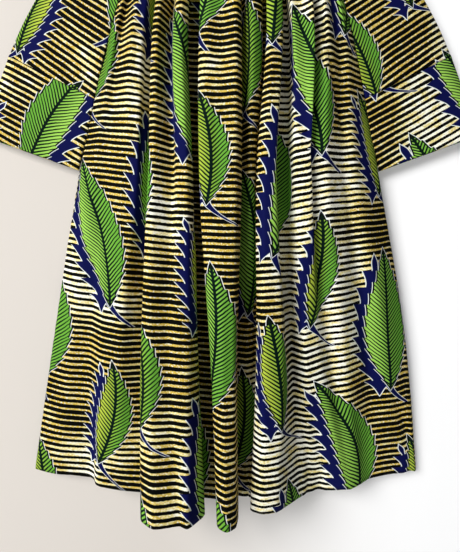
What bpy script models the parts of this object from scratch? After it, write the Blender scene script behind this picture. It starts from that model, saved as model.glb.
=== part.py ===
"""Bell sleeve dress hanging on a plain wooden hanger.

A tent-shaped cotton dress: one front and one back panel, gathered into a narrow neckband, and two wide
raglan sleeves, each an upper piece and a flared bell tier. Every piece is a shell of thin cloth.

X runs across the dress, to the right as seen from the front. Y runs back, towards the wall that the
dress hangs in front of. Z is up. The origin is the inside top of the hanger's hook.
"""
import bpy
import numpy as np

# Cloth
CLOTH = 0.0013               # thickness of the wall
SEAM = 0.0005                # gap between two pieces at a seam
WALL_Y = 0.035               # plane of the wall behind the dress
WALL_CLEAR = 0.004           # the cloth stays this far from that wall

# Lengths along the cloth, up from the straight hem
KNEE_UP, UNDERARM_UP, CHEST_UP, GATHER_UP, NECK_UP = 0.217, 0.5125, 0.789, 0.93, 0.985
TIER_UP = 0.631              # where the seam of the bell tier reaches the raglan seam
FRONT_LENGTH, BACK_LENGTH, SEAM_LENGTH = 0.963, 1.000, 0.982

# Neckline
NECK_HALF = 0.122            # half the width of the gathered neck, front and back
NECK_NARROWING = 0.665       # neck width as a share of the chest width
FRONT_NECK_Z, BACK_NECK_Z, RAGLAN_TOP_Z = -0.175, -0.138, -0.147
FRONT_NECK_OUT, RAGLAN_TOP_OUT, BACK_NECK_OUT = 0.072, 0.050, 0.012
BAND_HEIGHT, BAND_CLOTH = 0.012, 0.0016
BAND_FREE, BAND_LEAN = 0.0003, 0.985             # the band's gap above the seam, and its taper to its top
HEM_RIDGE_DROP = 0.004       # how much lower the crests of the folds hang than the valleys

# Hanger
ARM_TIP_X, ARM_TIP_Z, ARM_TOP_Z = 0.208, -0.1603, -0.0693
ARM_THICK, ARM_DEPTH_MIDDLE, ARM_DEPTH_TIP = 0.009, 0.032, 0.013
HOOK_WIRE, HOOK_RADIUS, HOOK_STEM_Z = 0.0022, 0.020, -0.058
HOOK_END, HOOK_LEAVE = 200, -39                  # degrees round the hook: its open end, and where the stem starts
HOOK_FREE = 0.0004                               # the stem ends this far above the arms

# The folds of the front, left to right, in millimetres: x, and how far out from the wall the cloth is,
# at the chest, the underarm, the knee and the hem.
FRONT_FOLDS = [
    # fold                 chest       underarm    knee        hem
    ("left edge",          -180, 47,   -250, 26,   -296, 22,   -328, 17),
    ("left side",          -171, 56,   -221, 46,   -261, 34,   -288, 24),
    ("left hollow",        -165, 48,   -202, 48,   -242, 33,   -258, 24),
    ("left swell",         -141, 78,   -171, 62,   -208, 50,   -222, 42),
    ("left brow",          -128, 74,   -147, 66,   -177, 60,   -187, 52),
    ("first valley",       -123, 46,   -136, 42,   -159, 38,   -155, 52),
    ("first column left",  -102, 88,   -111, 97,   -117, 116,  -124, 126),
    ("first column crest", -91, 70,    -92, 87,    -91, 112,   -89, 137),
    ("first column right", -69, 98,    -68, 104,   -59, 116,   -49, 130),
    ("second valley",      -51, 56,    -56, 54,    -47, 46,    -32, 64),
    ("middle left",        -30, 94,    -36, 98,    -28, 106,   -19, 128),
    ("middle crest",       -15, 80,    -12, 97,    -10, 118,   -4, 134),
    ("middle right",       1, 100,     6, 102,     9, 116,     11, 118),
    ("third valley",       19, 62,     22, 60,     26, 50,     21, 48),
    ("small fold",         33, 98,     31, 70,     33, 54,     29, 50),
    ("fourth valley",      54, 58,     43, 59,     42, 49,     36, 52),
    ("third column left",  68, 96,     53, 104,    55, 119,    47, 104),
    ("third column right", 77, 92,     70, 101,    78, 112,    81, 95),
    ("fifth valley",       91, 58,     89, 63,     99, 66,     116, 60),
    ("right rise",         98, 94,     103, 92,    117, 82,    139, 40),
    ("right swell",        106, 84,    114, 88,    128, 80,    157, 40),
    ("right brow",         117, 95,    124, 94,    142, 78,    173, 43),
    ("sixth valley",       134, 60,    134, 80,    156, 74,    188, 42),
    ("right ripple",       143, 82,    149, 83,    174, 62,    204, 38),
    ("right hollow",       163, 58,    182, 58,    206, 42,    230, 28),
    ("right side",         172, 60,    201, 58,    242, 42,    274, 20),
    ("right edge",         184, 47,    246, 26,    295, 21,    313, 17),
]
# The turn of the cloth at each side, where front and back meet: the silhouette's own line.
RIGHT_TURN = ("right turn", 206, 36, 251, 17, 300, 14, 318, 11)
LEFT_TURN = ("left turn", -202, 36, -255, 17, -301, 14, -333, 11)
# The back, right to left. Its folds lie flat against the wall: x as a share of the half width at each
# height, and how far out from the wall at the chest and at the hem, in millimetres.
BACK_FOLDS = [
    # fold            x      chest  hem
    ("right edge",    0.982, 8, 5),
    ("right side",    0.86, 12, 6),
    ("right valley",  0.71, 7, 5),
    ("first ridge",   0.60, 22, 20),
    ("first valley",  0.47, 8, 6),
    ("second ridge",  0.33, 26, 28),
    ("second valley", 0.19, 8, 7),
    ("middle ridge",  0.05, 24, 27),
    ("third valley",  -0.11, 7, 6),
    ("third ridge",   -0.25, 26, 28),
    ("fourth valley", -0.39, 8, 6),
    ("fourth ridge",  -0.53, 24, 24),
    ("left valley",   -0.67, 7, 5),
    ("left side",     -0.84, 11, 7),
    ("left edge",     -0.982, 8, 5),
]
HALF_WIDTHS = (0.185, 0.253, 0.3005, 0.3255)    # at the chest, underarm, knee and hem
SEAM_REACH = 0.05            # the cloth shifts towards a seam's place only this near to it
OPENING_REACH = 0.06         # above the underarm, front and back part for the sleeve over this height
SIDE_WRAP = 0.008            # the back panel wraps round to the front by this much, low on the right side
WRAP_FROM, WRAP_REACH = 0.05, 0.15              # that wrap starts this far below the underarm, and grows
# The gathers above the chest: how much of each fold's depth is left, near the neck and at the neck, and the
# depth of an average fold, in the middle of the front, at its ends and behind.
GATHER_WAVE, NECK_WAVE = 0.75, 0.12
USUAL_FRONT, USUAL_END, USUAL_BACK = 0.078, 0.054, 0.016

# The fold along the top of each sleeve, from the neck to the hem: x, z and how far out from the wall.
OVERARM = [
    # place              x      z       out
    ("neck",             0.150, -0.1335, 0.035),
    ("hanger tip",       0.214, -0.1615, 0.035),
    ("below the tip",    0.248, -0.197, 0.033),
    ("upper arm",        0.288, -0.252, 0.028),
    ("arm",              0.326, -0.311, 0.022),
    ("above the tier",   0.350, -0.350, 0.018),
    ("tier seam",        0.3755, -0.4035, 0.015),
]
BELL_OUTER = ("hem", 0.424, -0.535, 0.013)
SLEEVE_TILT = np.radians(27.4)                   # the sleeve's weft rises outwards by this much
SLEEVE_FREE = 0.0003                             # a sleeve's edge stands off the panel by this and the seam
UNDERARM_STEP = 0.0012                           # and its front and back edges are this far out of line there
FOLD_ROUND_TOP, FOLD_ROUND_LOW = 0.014, 0.0075   # half thickness of the sleeve at that fold
PANEL_ROWS = np.concatenate([       # places of the panels' rows, from the neck to the hem
    [0, 0.015, 0.035, 0.055, 0.075, 0.1], np.linspace(0.15, 0.39, 4), [0.42, 0.44, 0.46, 1 - UNDERARM_UP / SEAM_LENGTH],
    np.linspace(0.54, 1, 8)])
LOOP_LEVELS = np.array([0.0, KNEE_UP, UNDERARM_UP, CHEST_UP, GATHER_UP, NECK_UP])

COLOURS = {
    # material: colour, roughness, metallic
    "printed_cotton": ((0.30, 0.29, 0.10, 1), 0.8, 0.0),
    "band_cotton": ((0.05, 0.06, 0.05, 1), 0.8, 0.0),
    "beech": ((0.55, 0.38, 0.22, 1), 0.45, 0.0),
    "steel": ((0.6, 0.6, 0.6, 1), 0.25, 1.0),
}


def smooth_through(knots, values, at):
    """A smooth curve through values[i] at knots[i], read at the places `at`.

    Each stretch is a cubic whose end slopes are those of the parabola through three neighbours.
    """
    knots = np.asarray(knots, float)
    step = np.diff(knots)
    shape = (-1,) + (1,) * (values.ndim - 1)
    rise = np.diff(values, axis=0) / step.reshape(shape)
    before, after = step[:-1].reshape(shape), step[1:].reshape(shape)
    inner = (rise[:-1] * after + rise[1:] * before) / (before + after)
    slope = np.concatenate([rise[:1], inner, rise[-1:]])
    k = np.clip(np.searchsorted(knots, at, side="right") - 1, 0, len(step) - 1)
    h = step[k].reshape(shape)
    s = ((at - knots[k]) / step[k]).reshape(shape)
    return (
        values[k] * (1 + 2 * s) * (1 - s) ** 2
        + values[k + 1] * s * s * (3 - 2 * s)
        + slope[k] * h * s * (1 - s) ** 2
        + slope[k + 1] * h * s * s * (s - 1)
    )


def ease(x):
    """0 below 0, 1 above 1, and a soft step between."""
    x = np.clip(x, 0, 1)
    return x * x * (3 - 2 * x)


def folds_at_levels():
    """Every fold at every level in metres, hem first, as an array (levels, folds, 2), and the front's count.

    The folds run round the dress from the left turn, with one more fold at each end to close the loop.
    """
    rows = [LEFT_TURN] + FRONT_FOLDS + [RIGHT_TURN]
    front = np.array([row[1:] for row in rows], float).reshape(-1, 4, 2) / 1000
    shares = np.array([row[1] for row in BACK_FOLDS])
    chest, hem = np.array([row[2:] for row in BACK_FOLDS], float).T / 1000
    back = np.empty((len(BACK_FOLDS), 4, 2))
    for level, half in enumerate(HALF_WIDTHS):
        back[:, level, 0] = shares * half
        back[:, level, 1] = chest + (hem - chest) * level / 3
    back[[0, -1], :, 0] = front[[-2, 1], :, 0]
    loop = np.concatenate([back[-1:], front, back, front[:2]])
    chest_up_to_hem = loop.transpose(1, 0, 2)
    chest_row = chest_up_to_hem[0]
    is_front = (np.arange(len(chest_row)) - 1) % (len(loop) - 3) < len(front)
    narrow = 1 - (1 - NECK_NARROWING) * (GATHER_UP - CHEST_UP) / (NECK_UP - CHEST_UP)
    upper = []
    for share, waviness in ((narrow, GATHER_WAVE), (NECK_NARROWING, NECK_WAVE)):
        x = chest_row[:, 0] * share
        across = np.clip(x / (NECK_HALF * share / NECK_NARROWING), -1, 1)
        smooth_front = FRONT_NECK_OUT + (RAGLAN_TOP_OUT - FRONT_NECK_OUT) * across ** 2
        smooth = np.where(is_front, smooth_front, BACK_NECK_OUT)
        usual = np.where(is_front, USUAL_FRONT + (USUAL_END - USUAL_FRONT) * across ** 2, USUAL_BACK)
        upper.append(np.stack([x, smooth + waviness * (chest_row[:, 1] - usual)], 1))
    levels = np.concatenate([chest_up_to_hem[::-1], np.array(upper)])
    return levels, len(front)


LEVELS, FRONT_COUNT = folds_at_levels()
CHORDS = np.linalg.norm(np.diff(LEVELS, axis=1), axis=2).mean(axis=0)
AROUND = np.concatenate([[0], np.cumsum(CHORDS)])      # mean length round the dress at each fold
TURN_LEFT, TURN_RIGHT, ROUND = AROUND[1], AROUND[FRONT_COUNT], AROUND[-2]
LEFT_EDGE, RIGHT_EDGE = AROUND[2], AROUND[FRONT_COUNT - 1]
BACK_RIGHT_EDGE, BACK_LEFT_EDGE = AROUND[FRONT_COUNT + 1], AROUND[-3]


def seam_places(up):
    """Where the panels end, as lengths round the dress, at each height.

    Below the underarm the front and the back meet at the side seam. Above it they part, within a hand's
    breadth, to the raglan seams of the sleeve. Low on the right the seam lies on the front.
    """
    opened = ease((up - UNDERARM_UP) / OPENING_REACH)
    wrap = SIDE_WRAP * ease((UNDERARM_UP - WRAP_FROM - up) / WRAP_REACH)
    half_gap = SEAM / 2
    front_left = TURN_LEFT + half_gap + (LEFT_EDGE - TURN_LEFT - half_gap) * opened
    front_right = TURN_RIGHT - wrap - half_gap + (RIGHT_EDGE - TURN_RIGHT + half_gap) * opened
    back_right = TURN_RIGHT - wrap + half_gap + (BACK_RIGHT_EDGE - TURN_RIGHT - half_gap) * opened
    back_left = ROUND - half_gap + (BACK_LEFT_EDGE - ROUND + half_gap) * opened
    return front_left, front_right, back_right, back_left


def place(around, up):
    """x and distance from the wall of the cloth, at lengths round the dress and heights up the cloth."""
    rows = smooth_through(LOOP_LEVELS, LEVELS, up)
    return np.stack([smooth_through(AROUND, row, a) for row, a in zip(rows, around)])


def neck_ends():
    """x of the two raglan seams at the neck."""
    return place(np.array([[LEFT_EDGE, RIGHT_EDGE]]), np.array([SEAM_LENGTH]))[0, :, 0]


def neck_height(x, front):
    """Height of the neck's edge at x, which falls from both raglan seams to the middle as a parabola."""
    left, right = neck_ends()
    middle = 2 * (x - left) / (right - left) - 1
    lowest = FRONT_NECK_Z if front else BACK_NECK_Z
    return lowest + (RAGLAN_TOP_Z - lowest) * middle ** 2


def panel(columns, rows, front):
    """Points of the front or back panel, shape (rows, columns, 3), with each row a line along the weft.

    columns run from 0 to 1 across the panel, rows from 0 at the neck to 1 at the hem. The height falls by
    sqrt(step^2 - sideways^2) for each step down the cloth, so slanting cloth hangs shorter, as it does.
    """
    middle = 2 * columns - 1
    length = (FRONT_LENGTH if front else BACK_LENGTH) * np.ones_like(columns)
    length += (SEAM_LENGTH - length) * middle ** 2
    x = np.empty((len(rows), len(columns)))
    out = np.empty_like(x)
    up = (1 - rows)[:, None] * length
    left, right, back_right, back_left = seam_places((1 - rows) * SEAM_LENGTH)
    start, end = (left, right) if front else (back_right, back_left)
    first, last = (TURN_LEFT, TURN_RIGHT) if front else (TURN_RIGHT, ROUND)
    for k, column in enumerate(columns):
        around = first + (last - first) * column
        near_start = 1 - ease((around - first) / SEAM_REACH)
        near_end = 1 - ease((last - around) / SEAM_REACH)
        around = around + (start - first) * near_start + (end - last) * near_end
        spots = place(around[:, None], up[:, k])
        x[:, k], out[:, k] = spots[:, 0, 0], spots[:, 0, 1]
    out = np.maximum(out, WALL_CLEAR)
    sideways = np.diff(x, axis=0)
    down = np.sqrt(np.diff(up, axis=0) ** 2 - sideways ** 2)
    z = neck_height(x[0], front) - np.concatenate([0 * down[:1], np.cumsum(down, axis=0)])
    if front:
        z -= HEM_RIDGE_DROP * (out - 0.09) / 0.05 * rows[:, None] ** 2 * ease((1 - abs(middle)) / 0.15)
    return np.stack([x, WALL_Y - out, z], 2)


def seam_columns(front):
    """Columns at each fold and between them, closer where the cloth bends round the sides."""
    knots = AROUND[1:FRONT_COUNT + 1] if front else AROUND[FRONT_COUNT:-1]
    places = [knots[:1]]
    for a, b in zip(knots[:-1], knots[1:]):
        bends = a == knots[0] or b == knots[-1]
        if front:
            pieces = 5 if bends else 1 + int(b - a > 0.012) + int(b - a > 0.024) + int(b - a > 0.045)
        else:
            pieces = 5 if bends else 1 + int(b - a > 0.03)
        places.append(a + (b - a) * np.arange(1, pieces + 1) / pieces)
    places = np.concatenate(places)
    return (places - places[0]) / (places[-1] - places[0])


def sleeve(side, rows, across, bell):
    """Points of a sleeve piece, shape (rows, columns, 3).

    rows run from 0 at the piece's top edge to 1 at its bottom edge. across runs from -1 at the front seam,
    over 0 at the fold along the arm, to 1 at the back seam. Each row is a straight line from seam to fold,
    and its half thickness follows (1 - (1 - w)^8)^(1/2), which rounds the fold off.
    """
    if bell:
        up = TIER_UP + (UNDERARM_UP - TIER_UP) * rows
        fold = np.array([OVERARM[-1][1:], BELL_OUTER[1:]])
        outer = fold[0] + (fold[1] - fold[0]) * rows[:, None]
        half = FOLD_ROUND_LOW * np.ones_like(rows)
    else:
        up = SEAM_LENGTH + (TIER_UP - SEAM_LENGTH) * rows
        fold = np.array([row[1:] for row in OVERARM])
        along = np.concatenate([[0], np.cumsum(np.linalg.norm(np.diff(fold, axis=0), axis=1))])
        outer = smooth_through(along / along[-1], fold, rows)
        half = FOLD_ROUND_LOW + (FOLD_ROUND_TOP - FOLD_ROUND_LOW) * (1 - ease((rows - 0.15) / 0.5))
    closed = 1 - ease((up - UNDERARM_UP) / OPENING_REACH)
    rails = []
    for front in (True, False):
        edge = 1.0 if (side > 0) == front else 0.0
        rail = panel(np.array([edge]), PANEL_ROWS, front)[:, 0]
        spots = np.stack([np.interp(1 - up / SEAM_LENGTH, PANEL_ROWS, rail[:, k]) for k in range(3)], 1)
        spots[:, 0] += side * (SEAM + SLEEVE_FREE + CLOTH * 0.5 * closed)
        spots[:, 1] -= (1 if front else -1) * UNDERARM_STEP * closed
        rails.append(spots)
    w = abs(across)
    seam_edge = np.where((across < 0)[None, :, None], rails[0][:, None], rails[1][:, None])
    ridge = np.stack([side * outer[:, 0], WALL_Y - outer[:, 2], outer[:, 1]], 1)[:, None]
    points = ridge + (seam_edge - ridge) * w[None, :, None]
    swell = (1 - (1 - w) ** 8) ** 0.5 - w
    points[:, :, 1] += np.sign(across) * half[:, None] * swell
    return points


def sleeve_rows(bell):
    """Rows of a sleeve piece, at the same heights as the rows of the panels that it is sewn to."""
    up = (1 - PANEL_ROWS) * SEAM_LENGTH
    top, bottom = (TIER_UP, UNDERARM_UP) if bell else (SEAM_LENGTH, TIER_UP)
    inside = up[(up < top - 0.004) & (up > bottom + 0.004)]
    return (top - np.concatenate([[top], inside, [bottom]])) / (top - bottom)


def arm_columns(count):
    """Columns from seam to seam, close together at the fold along the arm."""
    w = np.linspace(1, 0, count) ** 2.2
    return np.concatenate([-w, w[::-1][1:]])


def neck_line(count):
    """The top edge of all the pieces, as a closed line round the neck, seen from above."""
    left, right = neck_ends()
    x = np.linspace(left, right, count)
    across = x / NECK_HALF
    out = FRONT_NECK_OUT + (RAGLAN_TOP_OUT - FRONT_NECK_OUT) * across ** 2
    front = np.stack([x, WALL_Y - out, neck_height(x, True)], 1)
    back = np.stack([x, np.full(count, WALL_Y - BACK_NECK_OUT), neck_height(x, False)], 1)[::-1]
    top = np.array([0.0])
    half_turn = np.linspace(0, 0.86, 7) ** 2.2          # stops short of the seams, close together at the fold
    turn = np.concatenate([-half_turn[::-1], half_turn[1:]])
    right = sleeve(1, top, turn, False)[0]
    left = sleeve(-1, top, turn[::-1], False)[0]
    return np.concatenate([front, right, back, left])


def shell(name, points, material, thickness=CLOTH, closed=False):
    """A piece of cloth: a grid of quads through the points, thickened evenly to both sides."""
    rows, columns = points.shape[:2]
    corner = np.arange(rows * columns).reshape(rows, columns)
    if closed:
        corner = np.concatenate([corner, corner[:, :1]], 1)
    faces = np.stack([corner[:-1, :-1], corner[1:, :-1], corner[1:, 1:], corner[:-1, 1:]], 2).reshape(-1, 4)
    mesh = bpy.data.meshes.new(name)
    mesh.from_pydata(points.reshape(-1, 3).tolist(), [], faces.tolist())
    mesh.shade_smooth()
    cloth = add(name, mesh, material)
    solid = cloth.modifiers.new("Cloth", "SOLIDIFY")
    solid.thickness = thickness
    solid.offset = 0
    return cloth


def add(name, data, material):
    """A new object in the dress's collection."""
    data.materials.append(MATERIALS[material])
    item = bpy.data.objects.new(name, data)
    DRESS.objects.link(item)
    return item


def add_hanger():
    """Two wooden arms in one flat outline, and a steel hook whose inside top is the origin."""
    slope = (ARM_TIP_Z - ARM_TOP_Z) / ARM_TIP_X
    arm_low = ARM_TOP_Z - ARM_DEPTH_MIDDLE
    tip_low = ARM_TIP_Z - ARM_DEPTH_TIP
    right_half = [
        # place               x                   z
        ("top of the middle", 0.0,                ARM_TOP_Z),
        ("start of the arm",  0.03,               ARM_TOP_Z + 0.03 * slope),
        ("end of its top",    ARM_TIP_X - 0.006,  ARM_TIP_Z + 0.0026),
        ("tip",               ARM_TIP_X,          ARM_TIP_Z - 0.003),
        ("under the tip",     ARM_TIP_X - 0.002,  tip_low),
        ("end of its bottom", ARM_TIP_X - 0.012,  tip_low),
        ("below the arm",     0.06,               arm_low + 0.05 * slope),
        ("below the middle",  0.0,                arm_low + 0.005),
    ]
    half = [(x, z) for _, x, z in right_half]
    outline = half + [(-x, z) for x, z in half[-2:0:-1]]
    curve = bpy.data.curves.new("hanger_arms", "CURVE")
    curve.dimensions = "2D"
    curve.fill_mode = "BOTH"
    curve.extrude = ARM_THICK / 2
    line = curve.splines.new("POLY")
    line.points.add(len(outline) - 1)
    for point, (x, z) in zip(line.points, outline):
        point.co = (x, z, 0, 1)
    line.use_cyclic_u = True
    arms = add("hanger_arms", curve, "beech")
    arms.rotation_euler = (np.pi / 2, 0, 0)
    weld = arms.modifiers.new("Weld", "WELD")
    weld.merge_threshold = 0.0001
    edge = arms.modifiers.new("Rounded edges", "BEVEL")
    edge.width = 0.003
    edge.segments = 2
    edge.limit_method = "ANGLE"
    edge.angle_limit = np.radians(60)

    centre = -HOOK_RADIUS
    turn = np.radians(np.linspace(HOOK_END, HOOK_LEAVE, 15))
    ring = HOOK_RADIUS + HOOK_WIRE / 2
    bend = np.stack([ring * np.cos(turn), centre + ring * np.sin(turn)], 1)
    stem = np.array([(0.004, (centre - ring + 2 * HOOK_STEM_Z) / 3), (0, HOOK_STEM_Z), (0, ARM_TOP_Z + HOOK_FREE)])
    route = np.concatenate([bend, stem])
    wire = bpy.data.curves.new("hanger_hook", "CURVE")
    wire.dimensions = "3D"
    wire.bevel_depth = HOOK_WIRE / 2
    wire.bevel_resolution = 2
    wire.use_fill_caps = True
    line = wire.splines.new("POLY")
    line.points.add(len(route) - 1)
    for point, (x, z) in zip(line.points, route):
        point.co = (x, 0, z, 1)
    add("hanger_hook", wire, "steel")


for old in list(bpy.data.objects):
    bpy.data.objects.remove(old)
DRESS = bpy.data.collections.new("Bell sleeve dress")
bpy.context.scene.collection.children.link(DRESS)
MATERIALS = {}
for title, (colour, roughness, metallic) in COLOURS.items():
    finish = bpy.data.materials.new(title)
    finish.use_nodes = True
    shader = finish.node_tree.nodes["Principled BSDF"]
    shader.inputs["Base Color"].default_value = colour
    shader.inputs["Roughness"].default_value = roughness
    shader.inputs["Metallic"].default_value = metallic
    MATERIALS[title] = finish

shell("front_panel", panel(seam_columns(True), PANEL_ROWS, True), "printed_cotton")
shell("back_panel", panel(seam_columns(False), PANEL_ROWS, False), "printed_cotton")
for word, side in (("left", -1), ("right", 1)):
    upper = sleeve(side, sleeve_rows(False), arm_columns(8), False)
    gap_down = (SEAM / 2 + 0.0002) * np.array([side * np.sin(SLEEVE_TILT), 0, -np.cos(SLEEVE_TILT)])
    upper[-1] -= gap_down
    shell(f"sleeve_upper_{word}", upper, "printed_cotton")
    bell = sleeve(side, sleeve_rows(True), arm_columns(8), True)
    bell[0] += gap_down
    shell(f"sleeve_bell_{word}", bell, "printed_cotton")
line = neck_line(17)
band = np.stack([line + [0, 0, SEAM + BAND_FREE], line * [BAND_LEAN, BAND_LEAN, 1] + [0, 0, BAND_HEIGHT]])
shell("neckband", band, "band_cotton", BAND_CLOTH, closed=True)
add_hanger()
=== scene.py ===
# %% [markdown]
# # A printed bell sleeve dress on its hanger
#
# The dress is thin cotton with a wax-resist print, gathered into a narrow band at the neck. It falls from
# a wooden hanger in deep folds, so its look comes from two things: the folds, and stripes that follow them.
# Both are made from the same sheet coordinates. Every point of the cloth knows how far along the weft and
# how far up from the hem it was on the roll, and the print is drawn from those two lengths.
#
# The plain solids of the dress and its hanger are loaded first. Their box is what the looks have to fit.

import bpy
import numpy as np
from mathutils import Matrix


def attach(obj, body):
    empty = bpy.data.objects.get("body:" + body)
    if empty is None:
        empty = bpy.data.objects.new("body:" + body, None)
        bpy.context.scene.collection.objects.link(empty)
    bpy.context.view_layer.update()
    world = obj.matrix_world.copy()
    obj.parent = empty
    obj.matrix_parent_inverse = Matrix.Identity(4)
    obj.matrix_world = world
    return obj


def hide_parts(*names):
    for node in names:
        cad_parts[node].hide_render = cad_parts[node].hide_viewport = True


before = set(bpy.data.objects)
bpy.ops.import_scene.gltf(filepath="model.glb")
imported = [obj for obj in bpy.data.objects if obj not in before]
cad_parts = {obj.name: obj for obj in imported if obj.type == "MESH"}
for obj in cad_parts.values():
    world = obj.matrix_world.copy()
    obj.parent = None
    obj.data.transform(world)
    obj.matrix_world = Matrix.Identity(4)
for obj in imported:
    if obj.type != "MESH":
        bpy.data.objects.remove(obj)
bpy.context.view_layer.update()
print("nodes:", sorted(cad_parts))

# %% [markdown]
# ## Sizes
#
# These are the dress's own sizes in metres. Heights along the cloth are counted up from the straight hem,
# because a dressmaker cuts the cloth flat and the folds come later. "Out" is a distance from the wall. The
# sleeves are cut with their weft at a slant, so their stripes climb outwards.

# %% Sizes
WALL_Y = 0.035
WALL_CLEAR = 0.004
KNEE_UP, UNDERARM_UP, CHEST_UP, GATHER_UP, NECK_UP = 0.217, 0.5125, 0.789, 0.93, 0.985
TIER_UP = 0.631
FRONT_LENGTH, BACK_LENGTH, SEAM_LENGTH = 0.963, 1.000, 0.982
NECK_HALF, NECK_NARROWING = 0.122, 0.665
FRONT_NECK_Z, BACK_NECK_Z, RAGLAN_TOP_Z = -0.175, -0.138, -0.147
FRONT_NECK_OUT, RAGLAN_TOP_OUT, BACK_NECK_OUT = 0.072, 0.050, 0.012
BAND_HEIGHT = 0.012
HEM_RIDGE_DROP = 0.004
MIDDLE_OUT, OUT_SWING = 0.09, 0.05
UNDERARM_OPENING = 0.06
SEAM, SEAM_STEP, SOLID_CLOTH = 0.0005, 0.0012, 0.0013
CLOTH, BAND_CLOTH = 0.0006, 0.0005
CREASE_CLEAR = 0.0035
STRIPE_PITCH = 0.0096
TIER_SLANT = np.radians(27.4)
UPPER_WEFT, BELL_WEFT = np.radians(36.0), np.radians(30.0)
print(f"cloth from neck to hem: {FRONT_LENGTH:.3f} m in front, {BACK_LENGTH:.3f} m behind")

# %% [markdown]
# ## The folds
#
# A hanging fold keeps its place in the cloth from the neck to the hem, while it moves and deepens on the
# way down. So each fold is one row: where it is, and how far it stands out from the wall, at four heights.
# A smooth curve through the rows gives the whole panel. A cloth simulation could drape such a dress too,
# but then the folds would fall where they liked, and here each one has its place.

# %% Fold tables
FRONT_FOLDS = [
    # fold                     chest       underarm    knee        hem
    ("left edge",              -180, 47,   -250, 26,   -296, 22,   -328, 17),
    ("left side",              -171, 56,   -221, 46,   -261, 34,   -288, 24),
    ("left hollow",            -165, 48,   -202, 48,   -232, 32,   -238, 22),
    ("left swell",             -141, 78,   -171, 62,   -208, 50,   -216, 42),
    ("left brow",              -128, 74,   -147, 66,   -177, 58,   -179, 46),
    ("first valley",           -112, 42,   -128, 42,   -139, 38,   -138, 46),
    ("first flank",            -113, 62,   -127, 66,   -137, 68,   -136, 68),
    ("first column left",      -112, 84,   -124, 92,   -131, 112,  -130, 118),
    ("first column corner",    -103, 90,   -115, 98,   -116, 120,  -110, 134),
    ("first column crease",    -88, 62,    -87, 82,    -90, 112,   -73, 124),
    ("first column ridge",     -82, 89,    -80, 98,    -77, 116,   -67, 126),
    ("first column right",     -71, 98,    -65, 103,   -61, 116,   -60, 127),
    ("first column edge",      -62, 88,    -56, 92,    -47, 96,    -38, 96),
    ("second valley",          -67, 50,    -64, 46,    -57, 37,    -45, 54),
    ("second floor",           -45, 51,    -45, 48,    -26, 40,    -17, 56),
    ("middle left",            -44, 88,    -46, 94,    -28, 104,   -19, 120),
    ("middle shoulder",        -33, 94,    -33, 98,    -20, 112,   -13, 126),
    ("middle crest",           -13, 90,    -12, 99,    -10, 118,   -4, 129),
    ("middle right",           9, 100,     9, 101,     6, 112,     9, 118),
    ("middle edge",            17, 90,     18, 86,     11, 90,     13, 92),
    ("third valley",           11, 54,     12, 50,     6, 40,      8, 40),
    ("small fold",             33, 96,     31, 70,     27, 54,     24, 45),
    ("small fold edge",        50, 84,     40, 64,     36, 52,     30, 46),
    ("fourth valley",          50, 50,     40, 52,     38, 46,     31, 49),
    ("fourth floor",           61, 50,     48, 50,     47, 43,     38, 51),
    ("third column left",      55, 90,     40, 92,     39, 92,     31, 82),
    ("third column shoulder",  63, 98,     50, 104,    47, 117,    48, 92),
    ("third column right",     78, 92,     69, 101,    78, 112,    71, 90),
    ("fifth wall",             79, 58,     73, 62,     89, 80,     92, 70),
    ("fifth valley",           91, 52,     93, 54,     99, 58,     112, 53),
    ("right rise",             91, 90,     100, 90,    117, 82,    142, 33),
    ("right swell",            106, 84,    118, 94,    128, 80,    164, 41),
    ("right brow",             123, 95,    124, 93,    142, 78,    186, 48),
    ("sixth valley",           123, 66,    122, 76,    159, 62,    196, 46),
    ("right ripple",           143, 82,    149, 83,    182, 66,    210, 40),
    ("right hollow",           163, 58,    182, 58,    225, 38,    232, 28),
    ("right side",             172, 60,    201, 58,    254, 42,    274, 20),
    ("right edge",             184, 47,    246, 26,    295, 21,    313, 17),
]
RIGHT_TURN = ("right turn", 206, 36, 251, 17, 300, 14, 318, 11)
LEFT_TURN = ("left turn", -202, 36, -255, 17, -301, 14, -333, 11)
BACK_FOLDS = [
    # fold            x      chest  hem
    ("right edge",    0.982, 8, 5),
    ("right side",    0.86, 12, 6),
    ("right valley",  0.71, 7, 5),
    ("first ridge",   0.60, 22, 20),
    ("first valley",  0.47, 8, 6),
    ("second ridge",  0.33, 26, 28),
    ("second valley", 0.19, 8, 7),
    ("middle ridge",  0.05, 24, 27),
    ("third valley",  -0.11, 7, 6),
    ("third ridge",   -0.25, 26, 28),
    ("fourth valley", -0.39, 8, 6),
    ("fourth ridge",  -0.53, 24, 24),
    ("left valley",   -0.67, 7, 5),
    ("left side",     -0.84, 11, 7),
    ("left edge",     -0.982, 8, 5),
]
HALF_WIDTHS = (0.185, 0.253, 0.3005, 0.3255)
SIDE_WRAP, SEAM_REACH = 0.008, 0.05
OVERARM = [
    # place              x      z       out
    ("neck",             0.150, -0.1335, 0.035),
    ("hanger tip",       0.214, -0.1615, 0.035),
    ("below the tip",    0.248, -0.197, 0.033),
    ("upper arm",        0.288, -0.252, 0.028),
    ("arm",              0.326, -0.311, 0.022),
    ("above the tier",   0.350, -0.350, 0.018),
    ("tier seam",        0.3755, -0.4035, 0.015),
]
BELL_OUTER = ("hem", 0.424, -0.535, 0.013)
FOLD_ROUND_TOP, FOLD_ROUND_LOW = 0.014, 0.0075
FOLD_EDGE, ROUNDNESS = 0.004, 0.2
CHEST_OUT, CHEST_SIDE_DROP, CHEST_BACK_OUT = 0.078, 0.024, 0.016
LOOP_LEVELS = np.array([0.0, KNEE_UP, UNDERARM_UP, CHEST_UP, GATHER_UP, NECK_UP])
print("folds in front:", len(FRONT_FOLDS), " behind:", len(BACK_FOLDS))

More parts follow.
